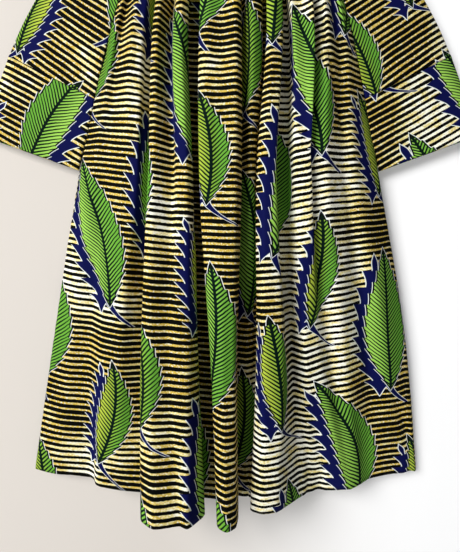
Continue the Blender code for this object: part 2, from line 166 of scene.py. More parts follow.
# %% [markdown]
# ## Smooth curves through the folds
#
# The tables give each fold at four heights, and the cloth bends softly between them. A cubic between each
# pair of heights, with a slope that both of its neighbours agree on, does that. Unlike one long polynomial,
# it doesn't swing far past the given points.

# %% Smooth curves through the folds
def ease(x):
    """0 below 0, 1 above 1, and the soft step 3x^2 - 2x^3 between."""
    x = np.clip(x, 0, 1)
    return x * x * (3 - 2 * x)


def slopes(knots, values):
    """At each knot, the slope of the parabola through it and its two neighbours, along the first axis."""
    step = np.diff(knots)
    shape = (-1,) + (1,) * (values.ndim - 1)
    rise = np.diff(values, axis=0) / step.reshape(shape)
    before, after = step[:-1].reshape(shape), step[1:].reshape(shape)
    inner = (rise[:-1] * after + rise[1:] * before) / (before + after)
    return np.concatenate([rise[:1], inner, rise[-1:]])


def cubic(h, s, a, b, slope_a, slope_b):
    """The cubic from a to b over a length h, at the share s, with the given slopes at its ends."""
    return (
        a * (1 + 2 * s) * (1 - s) ** 2
        + b * s * s * (3 - 2 * s)
        + slope_a * h * s * (1 - s) ** 2
        + slope_b * h * s * s * (s - 1)
    )


def smooth_through(knots, values, at):
    """A smooth curve through values[i] at knots[i], read at the places `at`."""
    k = np.clip(np.searchsorted(knots, at, side="right") - 1, 0, len(knots) - 2)
    shape = (-1,) + (1,) * (values.ndim - 1)
    h = (knots[k + 1] - knots[k]).reshape(shape)
    s = (at - knots[k]).reshape(shape) / h
    slope = slopes(knots, values)
    return cubic(h, s, values[k], values[k + 1], slope[k], slope[k + 1])


print("soft step at a quarter, a half and three quarters:", ease(np.array([0.25, 0.5, 0.75])))

# %% [markdown]
# ## One loop of folds
#
# Front and back folds are joined in one loop, so that a single length round the dress tells where any
# thread of the cloth is. Above the chest the folds have no rows of their own, because there they all run
# together into the neckband. Two more heights are worked out for them from the chest.

# %% Every fold at every height
def folds_at_levels():
    """Folds at six heights, hem first, as an array (heights, folds, 2), and how many of them are in front.

    They run round the dress from its left side, with one more at each end to close the loop. Above the
    chest each fold goes on towards the neck, narrowed to the neckband's width and flattened into gathers.
    """
    rows = [LEFT_TURN] + FRONT_FOLDS + [RIGHT_TURN]
    front = np.array([row[1:] for row in rows], float).reshape(-1, 4, 2) / 1000
    shares = np.array([row[1] for row in BACK_FOLDS])
    chest, hem = np.array([row[2:] for row in BACK_FOLDS], float).T / 1000
    back = np.empty((len(BACK_FOLDS), 4, 2))
    for level, half in enumerate(HALF_WIDTHS):
        back[:, level, 0] = shares * half
        back[:, level, 1] = chest + (hem - chest) * level / 3
    back[[0, -1], :, 0] = front[[-2, 1], :, 0]
    loop = np.concatenate([back[-1:], front, back, front[:2]]).transpose(1, 0, 2)
    is_front = (np.arange(loop.shape[1]) - 1) % (loop.shape[1] - 3) < len(front)
    narrow = 1 - (1 - NECK_NARROWING) * (GATHER_UP - CHEST_UP) / (NECK_UP - CHEST_UP)
    upper = []
    for share, waviness in ((narrow, 0.75), (NECK_NARROWING, 0.12)):
        x = loop[0][:, 0] * share
        across = np.clip(x / (NECK_HALF * share / NECK_NARROWING), -1, 1)
        smooth_front = FRONT_NECK_OUT + (RAGLAN_TOP_OUT - FRONT_NECK_OUT) * across ** 2
        smooth = np.where(is_front, smooth_front, BACK_NECK_OUT)
        usual = np.where(is_front, CHEST_OUT - CHEST_SIDE_DROP * across ** 2, CHEST_BACK_OUT)
        upper.append(np.stack([x, smooth + waviness * (loop[0][:, 1] - usual)], 1))
    return np.concatenate([loop[::-1], np.array(upper)]), len(front)


LEVELS, FRONT_COUNT = folds_at_levels()
AROUND = np.concatenate([[0], np.cumsum(np.linalg.norm(np.diff(LEVELS, axis=1), axis=2).mean(axis=0))])
TURN_LEFT, TURN_RIGHT, ROUND = AROUND[1], AROUND[FRONT_COUNT], AROUND[-2]
LEFT_EDGE, RIGHT_EDGE = AROUND[2], AROUND[FRONT_COUNT - 1]
BACK_RIGHT_EDGE, BACK_LEFT_EDGE = AROUND[FRONT_COUNT + 1], AROUND[-3]
print(f"cloth round the dress, on average: {ROUND - TURN_LEFT:.2f} m")

# %% [markdown]
# ## From folds to panels
#
# A panel is a grid: columns along its folds, rows along its weft. The dress's front and back meet at the
# side seams below the underarm, and part above it for the sleeves. A point's height isn't in the table.
# It comes from the cloth's length, because cloth that slants sideways hangs a little shorter. That is why
# the hem rises towards the sides.

# %% Side seams
def seam_places(up):
    """Where front and back end, as lengths round the dress, at each height up the cloth.

    Below the underarm they meet at the turns, half a seam's gap to each side. Above it each end moves by
    a soft step to its own raglan edge. Towards the hem the right seam moves behind by up to SIDE_WRAP.
    """
    opened = ease((up - UNDERARM_UP) / UNDERARM_OPENING)
    wrap = SIDE_WRAP * ease((UNDERARM_UP - 0.05 - up) / 0.15)
    half_gap = SEAM / 2
    front_left = TURN_LEFT + half_gap + (LEFT_EDGE - TURN_LEFT - half_gap) * opened
    front_right = TURN_RIGHT - wrap - half_gap + (RIGHT_EDGE - TURN_RIGHT + half_gap) * opened
    back_right = TURN_RIGHT - wrap + half_gap + (BACK_RIGHT_EDGE - TURN_RIGHT - half_gap) * opened
    back_left = ROUND - half_gap + (BACK_LEFT_EDGE - ROUND + half_gap) * opened
    return front_left, front_right, back_right, back_left


print("side seams at the hem, in metres round the dress:", np.round(seam_places(0.0), 3))

# %% [markdown]
# ## A place on the dress
#
# From a length round the dress and a height up the cloth, this tells where that thread hangs. The outline
# is straight-sided, averaged over a few millimetres, which leaves flat sides and narrow rounded edges, as
# crisp cotton has. A little of the soft cubic keeps it from looking folded out of paper.

# %% A place on the dress
def place(around, up):
    """x and distance from the wall of the cloth, for arrays of lengths round the dress and heights.

    A share ROUNDNESS comes from a smooth cubic through the folds. The rest is the straight-sided line
    through them, averaged over FOLD_EDGE to each side, which leaves flat sides and narrow rounded edges.
    """
    rows = smooth_through(LOOP_LEVELS, LEVELS, up.ravel()).transpose(1, 0, 2)
    slope = slopes(AROUND, rows)
    steps = np.diff(AROUND)[:, None, None]
    areas = np.concatenate([0 * rows[:1], np.cumsum((rows[1:] + rows[:-1]) / 2 * steps, axis=0)])
    each = np.arange(up.size)

    def piece(at):
        """Which stretch of the line `at` is in, how far past its start, and how long it is."""
        k = np.clip(np.searchsorted(AROUND, at, side="right") - 1, 0, len(AROUND) - 2)
        return k, (at - AROUND[k])[:, None], (AROUND[k + 1] - AROUND[k])[:, None]

    def area_to(at):
        """The integral of the straight-sided line from its start to `at`."""
        k, past, h = piece(at)
        start, end = rows[k, each], rows[k + 1, each]
        return areas[k, each] + past * start + past ** 2 / (2 * h) * (end - start)

    at = around.ravel()
    k, past, h = piece(at)
    smooth = cubic(h, past / h, rows[k, each], rows[k + 1, each], slope[k, each], slope[k + 1, each])
    flat_sided = (area_to(at + FOLD_EDGE) - area_to(at - FOLD_EDGE)) / (2 * FOLD_EDGE)
    spots = flat_sided + ROUNDNESS * (smooth - flat_sided)
    return spots[:, 0].reshape(up.shape), spots[:, 1].reshape(up.shape)

# %% [markdown]
# ## The panels
#
# With the seams and places known, a panel is one grid. The neck's edge is a parabola that is lowest in the
# middle, and the rest of the panel hangs from it.

# %% Panels
def neck_ends():
    """x of the two raglan seams at the neck."""
    x, _ = place(np.array([[LEFT_EDGE, RIGHT_EDGE]]), np.full((1, 2), SEAM_LENGTH))
    return x[0]


def neck_height(x, front):
    """Height of the neck's edge at x, which falls from both raglan seams to the middle as a parabola."""
    left, right = neck_ends()
    middle = 2 * (x - left) / (right - left) - 1
    lowest = FRONT_NECK_Z if front else BACK_NECK_Z
    return lowest + (RAGLAN_TOP_Z - lowest) * middle ** 2


def panel(columns, rows, front):
    """Points of the front or back panel, shape (rows, columns, 3), and each point's height up the cloth.

    columns run from 0 to 1 across the panel, rows from 0 at the neck to 1 at the hem. The height falls by
    sqrt(step^2 - sideways^2) for each step down the cloth. Towards the hem, the parts of the front that stand
    out sink a little and the hollows rise, by HEM_RIDGE_DROP for each OUT_SWING away from MIDDLE_OUT.
    """
    middle = 2 * columns - 1
    length = (FRONT_LENGTH if front else BACK_LENGTH) * np.ones_like(columns)
    length += (SEAM_LENGTH - length) * middle ** 2
    up = (1 - rows)[:, None] * length
    left, right, back_right, back_left = seam_places((1 - rows) * SEAM_LENGTH)
    start, end = (left, right) if front else (back_right, back_left)
    first, last = (TURN_LEFT, TURN_RIGHT) if front else (TURN_RIGHT, ROUND)
    around = first + (last - first) * columns[None, :]
    near_start = 1 - ease((around - first) / SEAM_REACH)
    near_end = 1 - ease((last - around) / SEAM_REACH)
    around = around + (start - first)[:, None] * near_start + (end - last)[:, None] * near_end
    x, out = place(around, up)
    out = np.maximum(out, WALL_CLEAR)
    down = np.sqrt(np.diff(up, axis=0) ** 2 - np.diff(x, axis=0) ** 2)
    z = neck_height(x[0], front) - np.concatenate([0 * down[:1], np.cumsum(down, axis=0)])
    if front:
        sink = HEM_RIDGE_DROP * (out - MIDDLE_OUT) / OUT_SWING
        z -= sink * rows[:, None] ** 2 * ease((1 - abs(middle)) / 0.15)
    return np.stack([x, WALL_Y - out, z], 2), up


print("x of the raglan seams at the neck:", neck_ends().round(3))

# %% [markdown]
# ## Lengths and normals of a sheet
#
# The print has to know how far along the weft each point is, and the creases have to know which way is out.
# Both are worked out from the grid of points itself.

# %% Lengths and normals
def across_cloth(points, zero_column):
    """How far along the weft each point is from one column: the lengths of the steps along its row."""
    steps = np.linalg.norm(np.diff(points[:, :, :2], axis=1), axis=2)
    along = np.concatenate([0 * steps[:, :1], np.cumsum(steps, axis=1)], axis=1)
    return along - along[:, zero_column: zero_column + 1]


def normals(points):
    """The cloth's outward normal at each point, from the cross product of its two grid directions."""
    down, across = np.gradient(points, axis=0), np.gradient(points, axis=1)
    normal = np.cross(down, across)
    return normal / np.linalg.norm(normal, axis=2, keepdims=True)

# %% [markdown]
# ## Small creases and gathers
#
# Between the big folds, real cloth is never quite smooth. The gathers at the neck leave fine pleats that
# die out towards the chest, and handling leaves soft troughs. Each crease here is a short stroke across
# the sheet with its own width and depth, and the points move along the cloth's normal.

# %% Crease tables
FRONT_CREASES = [
    # across and up at its start, then at its end, width, depth, all in millimetres
    (-470, 700, -430, 420, 9, 1.6),
    (-420, 620, -455, 330, 12, 1.4),
    (-400, 760, -370, 560, 7, 1.8),
    (-455, 300, -480, 60, 13, 1.6),
    (-395, 240, -400, 40, 10, 1.3),
    (-350, 420, -390, 180, 9, -1.4),
    (-330, 640, -345, 470, 8, 1.3),
    (-205, 720, -190, 500, 6, 1.5),
    (-160, 460, -150, 180, 9, -1.3),
    (-120, 300, -135, 30, 8, 1.5),
    (-20, 700, -5, 470, 6, 1.4),
    (20, 420, 12, 110, 8, -1.2),
    (175, 560, 180, 300, 8, 1.3),
    (205, 240, 215, 40, 9, 1.6),
    (300, 690, 330, 480, 7, 1.6),
    (345, 420, 352, 170, 11, 1.5),
    (392, 520, 405, 260, 10, -1.5),
    (430, 380, 442, 120, 12, 1.5),
    (455, 640, 425, 470, 8, 1.5),
    (380, 140, 372, 10, 9, 1.8),
    (460, 160, 455, 20, 10, 1.4),
    (304, 170, 290, -40, 6, 3.0),
    (286, 140, 266, -40, 5, 2.6),
    (461, 130, 457, -40, 6, 2.4),
    (-441, 110, -428, -40, 6, 2.4),
    (404, 830, 416, 500, 5, 3.2),
    (383, 820, 390, 610, 5, 2.2),
    (-295, 760, -302, 500, 5, 3.0),
    (-260, 800, -268, 620, 5, 2.2),
]
BACK_CREASES = [
    # the same columns
    (-380, 760, -400, 420, 9, 1.2),
    (-300, 380, -330, 80, 11, 1.3),
    (-210, 700, -190, 480, 8, 1.1),
    (-90, 330, -80, 60, 10, 1.3),
    (40, 720, 60, 400, 8, 1.1),
    (150, 360, 130, 80, 10, 1.2),
    (250, 640, 270, 380, 8, 1.2),
    (360, 300, 380, 50, 11, 1.3),
]
SLEEVE_CREASES = [
    # the same columns
    (40, 760, 70, 640, 9, 1.3),
    (95, 700, 60, 590, 8, 1.1),
    (20, 880, 45, 760, 10, 1.5),
    (130, 660, 150, 560, 10, 1.0),
    (45, 610, 75, 530, 8, 0.9),
]


for word, table in (("front", FRONT_CREASES), ("back", BACK_CREASES), ("each sleeve", SLEEVE_CREASES)):
    print(f"creases, {word}: {len(table)}")

# %% [markdown]
# ## How creases, pleats and puckers lift the cloth
#
# Each of them is a small distance along the cloth's normal, worked out for every point of a sheet at once.
# They could be a bump in the material. Moved points also show along the edges of the folds, though.

# %% Crease, pleat and pucker rules
def crease_depth(u, v, table):
    """Sum of the creases at each point of the sheet.

    Each is a trough -depth * exp(-(distance / width)^2) about its own line, faded in and out along it.
    """
    total = np.zeros_like(u)
    for u0, v0, u1, v1, width, depth in np.array(table, float) / 1000:
        run = np.array([u1 - u0, v1 - v0])
        length = np.hypot(*run)
        along = ((u - u0) * run[0] + (v - v0) * run[1]) / length ** 2
        bow = 0.004 * np.sin(np.pi * along)
        apart = ((u - u0) * run[1] - (v - v0) * run[0]) / length + bow
        fade = ease(along / 0.3) * ease((1 - along) / 0.3)
        total -= depth * fade * np.exp(-((apart / width) ** 2))
    return total


def neck_pleats(columns, up, count):
    """Fine gathers: a wave across the panel, uneven in spacing, that grows from the chest to the neck."""
    turns = 2 * np.pi * columns
    phase = count * columns + 0.5 * np.sin(3.1 * turns) + 0.3 * np.sin(7.3 * turns)
    grow = 0.0005 * ease((up - 0.66) / 0.12) + 0.0030 * ease((up - 0.78) / 0.14)
    settle = 1 - 0.75 * ease((up - 0.945) / 0.02)
    return grow * settle * np.sin(2 * np.pi * phase[None, :])


def puckers(edge_distance, along, depth=0.0005, reach=0.006):
    """A seam draws the cloth in: a dip that dies out with distance, with small puckers along the seam."""
    wave = 0.6 + 0.4 * np.sin(2 * np.pi * along / 0.011 + 2 * np.sin(along / 0.05))
    return -depth * wave * np.exp(-((edge_distance / reach) ** 2))


pleats = neck_pleats(np.linspace(0, 1, 400), np.array([[0.94]]), 31)
print(f"pleats near the neck: up to {1000 * abs(pleats).max():.1f} mm deep")

# %% [markdown]
# ## Making a sheet
#
# Each grid becomes one mesh with a UV map in metres of cloth, and a Solidify modifier gives the cloth its
# thickness. A subdivision modifier could smooth a coarser grid instead, but the grid is a formula, so it
# costs nothing to work it out finely enough.

# %% Sheets
def cloth_piece(name, points, u, v, closed=False, thickness=CLOTH):
    """A mesh from a grid of points, with its cloth coordinates in the UV map, as quads in rows."""
    rows, columns = points.shape[:2]
    corner = np.arange(rows * columns).reshape(rows, columns)
    cells = np.stack([corner[:-1, :-1], corner[1:, :-1], corner[1:, 1:], corner[:-1, 1:]], 2)
    if closed:
        last = np.stack([corner[:-1, -1], corner[1:, -1], corner[1:, 0], corner[:-1, 0]], 1)[:, None]
        cells = np.concatenate([cells, last], 1)
    faces = cells.reshape(-1, 4)
    mesh = bpy.data.meshes.new(name)
    mesh.vertices.add(rows * columns)
    mesh.vertices.foreach_set("co", points.reshape(-1).astype(np.float32))
    mesh.loops.add(faces.size)
    mesh.loops.foreach_set("vertex_index", faces.reshape(-1).astype(np.int32))
    mesh.polygons.add(len(faces))
    mesh.polygons.foreach_set("loop_start", np.arange(0, faces.size, 4, dtype=np.int32))
    mesh.update(calc_edges=True)
    cloth_uv = mesh.uv_layers.new(name="Cloth")
    uv = np.stack([u, v], 2).reshape(-1, 2)[faces.reshape(-1)]
    if closed:
        seam_u = u[:, -1].max() + np.linalg.norm(points[0, 0] - points[0, -1])
        cell_u = uv[:, 0].reshape(rows - 1, columns, 4)
        cell_u[:, -1, 2:] = seam_u
    cloth_uv.data.foreach_set("uv", uv.reshape(-1).astype(np.float32))
    mesh.shade_smooth()
    mesh.validate()
    piece = bpy.data.objects.new(name, mesh)
    bpy.context.scene.collection.objects.link(piece)
    solid = piece.modifiers.new("Thickness", "SOLIDIFY")
    solid.thickness = thickness
    solid.offset = 0
    print(f"{name}: {len(faces)} quads, {4 * len(faces)} triangles with both sides")
    return piece


# %% [markdown]
# ## Front and back
#
# The front is one wide piece. Its weft runs straight along the hem, so the stripes do too. The middle
# column is the zero of the print's width, and the hem the zero of its height.

# %% Front and back panels
FRONT_GRID, BACK_GRID = (400, 122), (260, 110)
MIDDLE_FOLD = [row[0] for row in FRONT_FOLDS].index("middle crest") + 2
BACK_MIDDLE = [row[0] for row in BACK_FOLDS].index("middle ridge") + FRONT_COUNT + 1


def dress_panel(front):
    """A finished panel's points and its cloth coordinates."""
    count, row_count = FRONT_GRID if front else BACK_GRID
    columns, rows = np.linspace(0, 1, count), np.linspace(0, 1, row_count)
    points, up = panel(columns, rows, front)
    first, last = (TURN_LEFT, TURN_RIGHT) if front else (TURN_RIGHT, ROUND)
    middle = AROUND[MIDDLE_FOLD if front else BACK_MIDDLE]
    zero = int(round((middle - first) / (last - first) * (count - 1)))
    u = across_cloth(points, zero)
    lift = crease_depth(u, up, FRONT_CREASES if front else BACK_CREASES)
    lift += neck_pleats(columns, up, 31 if front else 27)
    lift += puckers(u - u[:, :1], up) + puckers(u[:, -1:] - u, up)
    lift += puckers(up, u, 0.0004, 0.005)
    points = points + normals(points) * (lift * ease(rows / 0.012)[:, None])[:, :, None]
    points[:, :, 1] = np.minimum(points[:, :, 1], WALL_Y - CREASE_CLEAR)
    return points, u, up


front_points, front_u, front_up = dress_panel(True)
front_panel = cloth_piece("dress_front", front_points, front_u, front_up)
back_points, back_u, back_up = dress_panel(False)
back_panel = cloth_piece("dress_back", back_points, back_u, back_up)
print(f"front cloth: {np.ptp(front_u[-1]):.2f} m at the hem, {np.ptp(front_u[0]):.2f} m at the neck")

# %% [markdown]
# ## Sleeves
#
# A raglan sleeve reaches the neck. Each is a flat tube: from the front seam out to a fold along the arm
# and back behind. The upper piece and the bell tier share the same rule. On a sleeve the weft slants, by
# 36 degrees on the upper piece and 30 on the tier, so the stripes climb outwards from the raglan seam.

# %% Sleeve pieces
def sleeve(side, rows, across, bell):
    """Points of a sleeve piece, shape (rows, columns, 3).

    across runs from -1 at the front seam, over 0 at the fold along the arm, to 1 at the back seam. Each row
    is a line from seam to fold, and its half thickness follows (1 - (1 - w)^8)^(1/2), which rounds the fold.
    """
    if bell:
        up = TIER_UP + (UNDERARM_UP - TIER_UP) * rows
        fold = np.array([OVERARM[-1][1:], BELL_OUTER[1:]])
        outer = fold[0] + (fold[1] - fold[0]) * rows[:, None]
        half = FOLD_ROUND_LOW * np.ones_like(rows)
    else:
        up = SEAM_LENGTH + (TIER_UP - SEAM_LENGTH) * rows
        fold = np.array([row[1:] for row in OVERARM])
        along = np.concatenate([[0], np.cumsum(np.linalg.norm(np.diff(fold, axis=0), axis=1))])
        outer = smooth_through(along / along[-1], fold, rows)
        half = FOLD_ROUND_LOW + (FOLD_ROUND_TOP - FOLD_ROUND_LOW) * (1 - ease((rows - 0.15) / 0.5))
    closed = 1 - ease((up - UNDERARM_UP) / UNDERARM_OPENING)
    steps = np.linspace(0, 1, 200)
    rails = []
    for front in (True, False):
        edge = 1.0 if (side > 0) == front else 0.0
        rail = panel(np.array([edge]), steps, front)[0][:, 0]
        spots = np.stack([np.interp(1 - up / SEAM_LENGTH, steps, rail[:, k]) for k in range(3)], 1)
        spots[:, 0] += side * (SEAM + 0.0001 + SOLID_CLOTH / 2 * closed)
        spots[:, 1] -= (1 if front else -1) * SEAM_STEP * closed
        rails.append(spots)
    w = abs(across)
    seam_edge = np.where((across < 0)[None, :, None], rails[0][:, None], rails[1][:, None])
    ridge = np.stack([side * outer[:, 0], WALL_Y - outer[:, 2], outer[:, 1]], 1)[:, None]
    points = ridge + (seam_edge - ridge) * w[None, :, None]
    swell = (1 - (1 - w) ** 8) ** 0.5 - w
    points[:, :, 1] += np.sign(across) * half[:, None] * swell
    return points

# %% [markdown]
# ## The weft of a sleeve
#
# A sleeve lies almost flat, so its cloth coordinates are lengths along and across a slanting line. Behind
# the fold they are mirrored, because there the cloth turns back.

# %% Cloth coordinates of a sleeve
def sleeve_cloth(side, points, across, tilt):
    """Cloth coordinates of a sleeve: lengths along and across its slanting weft, mirrored behind the fold.

    Both are counted from the front end of the tier seam, and the height there is TIER_UP.
    """
    edge = np.array([1.0 if side > 0 else 0.0])
    seam_points, _ = panel(edge, np.array([0, 1 - TIER_UP / SEAM_LENGTH]), True)
    anchor = seam_points[1, 0]
    outward = np.array([side * np.cos(tilt), np.sin(tilt)])
    upward = np.array([-side * np.sin(tilt), np.cos(tilt)])
    flat = points[:, :, [0, 2]] - anchor[[0, 2]]
    u = flat @ outward
    v = TIER_UP + flat @ upward
    middle = np.argmin(abs(across))
    behind = across > 0
    u[:, behind] = 2 * u[:, middle: middle + 1] - u[:, behind]
    return u, v

# %% [markdown]
# ## Finished sleeves
#
# Each piece gets a few creases, and puckers along the tier seam and the hem. The print is shifted on every
# piece, as it is on pieces that were cut from different parts of a roll.

# %% Finished sleeves
HALF_COLUMNS, UPPER_ROWS, BELL_ROWS = 80, 110, 44
UPPER_DROP, BELL_DROP = 0.35, 0.12


def dress_sleeve(side, bell):
    """A finished sleeve piece's points and cloth coordinates."""
    half = np.linspace(1, 0, HALF_COLUMNS) ** 1.8
    across = np.concatenate([-half, half[::-1][1:]])
    rows = np.linspace(0, 1, BELL_ROWS if bell else UPPER_ROWS)
    points = sleeve(side, rows, across, bell)
    slant_down = SEAM / 2 * np.array([side * np.sin(TIER_SLANT), 0, -np.cos(TIER_SLANT)])
    if bell:
        points[0] += slant_down
    else:
        points[-1] -= slant_down
    u, v = sleeve_cloth(side, points, across, BELL_WEFT if bell else UPPER_WEFT)
    flip = points if side < 0 else points[:, ::-1]
    outward = normals(flip)
    outward = outward if side < 0 else outward[:, ::-1]
    lift = crease_depth(u, v, SLEEVE_CREASES)
    length = BELL_DROP if bell else UPPER_DROP
    from_top, from_end = rows[:, None] * length, (1 - rows)[:, None] * length
    lift += puckers(from_top if bell else from_end, u, 0.0006, 0.005)
    if bell:
        lift += puckers(from_end, u, 0.0003, 0.004)
    else:
        lift *= ease(rows / 0.02)[:, None]
    return points + outward * lift[:, :, None], u, v


sleeves = {}
for word, side in (("left", -1), ("right", 1)):
    for part, bell in (("upper", False), ("bell", True)):
        points, u, v = dress_sleeve(side, bell)
        if side > 0:
            points, u, v = points[:, ::-1], u[:, ::-1], v[:, ::-1]
        along, lifted = (0.19, 8 * STRIPE_PITCH) if bell else (0.07, 0.0)
        piece = cloth_piece(f"dress_sleeve_{part}_{word}", points, u + along * side, v + lifted)
        sleeves[part, word] = piece, points, u, v

# %% [markdown]
# ## The neckband
#
# The gathered neck is bound with a folded strip of black cotton. It wraps the raw edge, so its section is
# an upside-down U. The strip follows the line of the neck, over both sleeves, and closes in a ring.

# %% Neckband
BAND_STEPS, BAND_HALF = 480, 0.0014
BAND_LEAN = np.radians(5)


def neck_line(count):
    """The top edge of all the pieces, as a closed line round the neck with evenly spaced points."""
    left, right = neck_ends()
    x = np.linspace(left, right, 160)
    out = FRONT_NECK_OUT + (RAGLAN_TOP_OUT - FRONT_NECK_OUT) * (x / NECK_HALF) ** 2
    front = np.stack([x, WALL_Y - out, neck_height(x, True)], 1)
    back = np.stack([x, np.full(len(x), WALL_Y - BACK_NECK_OUT), neck_height(x, False)], 1)[::-1]
    turn = np.linspace(0.86, 0, 30) ** 2.2
    turn = np.concatenate([-turn, turn[::-1][1:]])
    right_end = sleeve(1, np.array([0.0]), turn, False)[0]
    left_end = sleeve(-1, np.array([0.0]), turn[::-1], False)[0]
    line = np.concatenate([front, right_end, back, left_end])
    closed = np.concatenate([line, line[:1]])
    along = np.concatenate([[0], np.cumsum(np.linalg.norm(np.diff(closed, axis=0), axis=1))])
    at = np.linspace(0, along[-1], count, endpoint=False)
    even = np.stack([np.interp(at, along, closed[:, k]) for k in range(3)], 1)
    for _ in range(12):
        even = (np.roll(even, 1, axis=0) + 2 * even + np.roll(even, -1, axis=0)) / 4
    return even, at, along[-1]


def neckband():
    """The bound edge: a U-shaped section carried round the neck line.

    The section runs up the outside, over the top and down the inside. It leans in by 5 degrees, and its
    outside carries the small bumps of the gathers under it.
    """
    line, along, length = neck_line(BAND_STEPS)
    tangent = np.roll(line, -1, axis=0) - np.roll(line, 1, axis=0)
    outward = np.cross(tangent, [0, 0, 1.0])
    outward /= np.linalg.norm(outward, axis=1, keepdims=True)
    straight = np.linspace(0, 1, 7)
    turn = np.linspace(0, np.pi, 9)
    rise = BAND_HEIGHT - BAND_HALF
    flat = 0 * straight[1:]
    side = np.concatenate([BAND_HALF + flat, BAND_HALF * np.cos(turn), flat - BAND_HALF])
    over = rise + BAND_HALF * np.sin(turn)
    height = np.concatenate([rise * straight[:-1], over, rise * (1 - straight[1:])])
    bumps = 0.0005 * np.sin(2 * np.pi * along / 0.0078 + 1.3 * np.sin(2 * np.pi * along / 0.093))
    bumps = bumps[None, :] * (1 - 0.6 * height / BAND_HEIGHT)[:, None] * np.sign(side)[:, None]
    lean = -np.tan(BAND_LEAN) * height
    offset = side[:, None] + lean[:, None] + bumps
    points = line[None] + offset[:, :, None] * outward[None]
    points[:, :, 2] += height[:, None] + SEAM
    v = np.concatenate([[0], np.cumsum(np.hypot(np.diff(side), np.diff(height)))])
    return points, along[None, :] + 0 * points[:, :, 0], v[:, None] + 0 * points[:, :, 0], length


band_points, band_u, band_v, band_length = neckband()
band = cloth_piece("dress_neckband", band_points, band_u, band_v, closed=True, thickness=BAND_CLOTH)
print(f"neckband: {band_length:.2f} m round")

# %% [markdown]
# ## The hanger
#
# A plain flat wooden hanger with rounded edges, and a bent steel wire for the hook. Both are tubes: rings of
# points that follow a line, with one flat face to close each end.

# %% Tubes
def ring_mesh(name, points):
    """A tube through rings of points, shape (rings, around, 3), with flat ends."""
    rings, around = points.shape[:2]
    corner = np.arange(rings * around).reshape(rings, around)
    after = np.roll(corner, -1, axis=1)
    faces = np.stack([corner[:-1], after[:-1], after[1:], corner[1:]], 2).reshape(-1, 4).tolist()
    faces += [corner[0, ::-1].tolist(), corner[-1].tolist()]
    mesh = bpy.data.meshes.new(name)
    mesh.from_pydata(points.reshape(-1, 3).tolist(), [], faces)
    mesh.shade_smooth()
    item = bpy.data.objects.new(name, mesh)
    bpy.context.scene.collection.objects.link(item)
    print(f"{name}: {len(faces)} faces")
    return item

# %% [markdown]
# ## The wooden arms
#
# Both arms are one surface, deep in the middle and narrow at the tips. A box with a bevel would do, but a
# formula for the section rounds all four edges at once and shrinks to a rounded tip.

# %% Wooden arms
ARM_TIP_X, ARM_TIP_Z, ARM_TOP_Z = 0.208, -0.1603, -0.0693
ARM_THICK, ARM_DEPTH_MIDDLE, ARM_DEPTH_TIP = 0.009, 0.032, 0.013
ARM_ROUND = 0.008


def hanger_arms():
    """Both arms: at each x, a section with (|y| / t)^4 + (|z| / h)^4 = 1 between the top and bottom lines.

    Over the last ARM_ROUND the section shrinks as sqrt(1 - past^2), which rounds the tips.
    """
    x = ARM_TIP_X * np.sin(np.linspace(-np.pi / 2, np.pi / 2, 121))
    far = abs(x)
    slope = (ARM_TIP_Z - ARM_TOP_Z) / ARM_TIP_X
    top = ARM_TOP_Z + slope * far
    middle_low, tip_low = ARM_TOP_Z - ARM_DEPTH_MIDDLE, ARM_TIP_Z - ARM_DEPTH_TIP
    bottom_x = [0, 0.06, ARM_TIP_X - 0.012, ARM_TIP_X]
    bottom_z = [middle_low + 0.005, middle_low + 0.05 * slope, tip_low, tip_low]
    fine = np.linspace(0, ARM_TIP_X, 400)
    bottom = np.interp(fine, bottom_x, bottom_z)
    bottom = np.convolve(np.pad(bottom, 20, mode="edge"), np.ones(41) / 41, mode="valid")
    bottom = np.interp(far, fine, bottom)
    past = np.clip(far - ARM_TIP_X + ARM_ROUND, 0, None) / ARM_ROUND
    round_tip = np.sqrt(np.clip(1 - past ** 2, 0.0004, 1))
    height = (top - bottom) / 2 * round_tip
    thick = ARM_THICK / 2 * round_tip ** 0.5
    angle = np.linspace(0, 2 * np.pi, 48, endpoint=False)
    y = np.sign(np.cos(angle)) * abs(np.cos(angle)) ** 0.5
    z = np.sign(np.sin(angle)) * abs(np.sin(angle)) ** 0.5
    middle = (top + bottom) / 2
    return np.stack([x[:, None] + 0 * y, thick[:, None] * y, middle[:, None] + height[:, None] * z], 2)


arms = ring_mesh("hanger_wood", hanger_arms())

# %% [markdown]
# ## The steel hook
#
# The hook is one length of wire: most of a ring, a small bend that brings it back over the middle, and a
# straight stem. A circle carried along that path makes its surface.

# %% Steel hook
HOOK_WIRE, HOOK_RADIUS, HOOK_SWAY = 0.0022, 0.020, 0.004


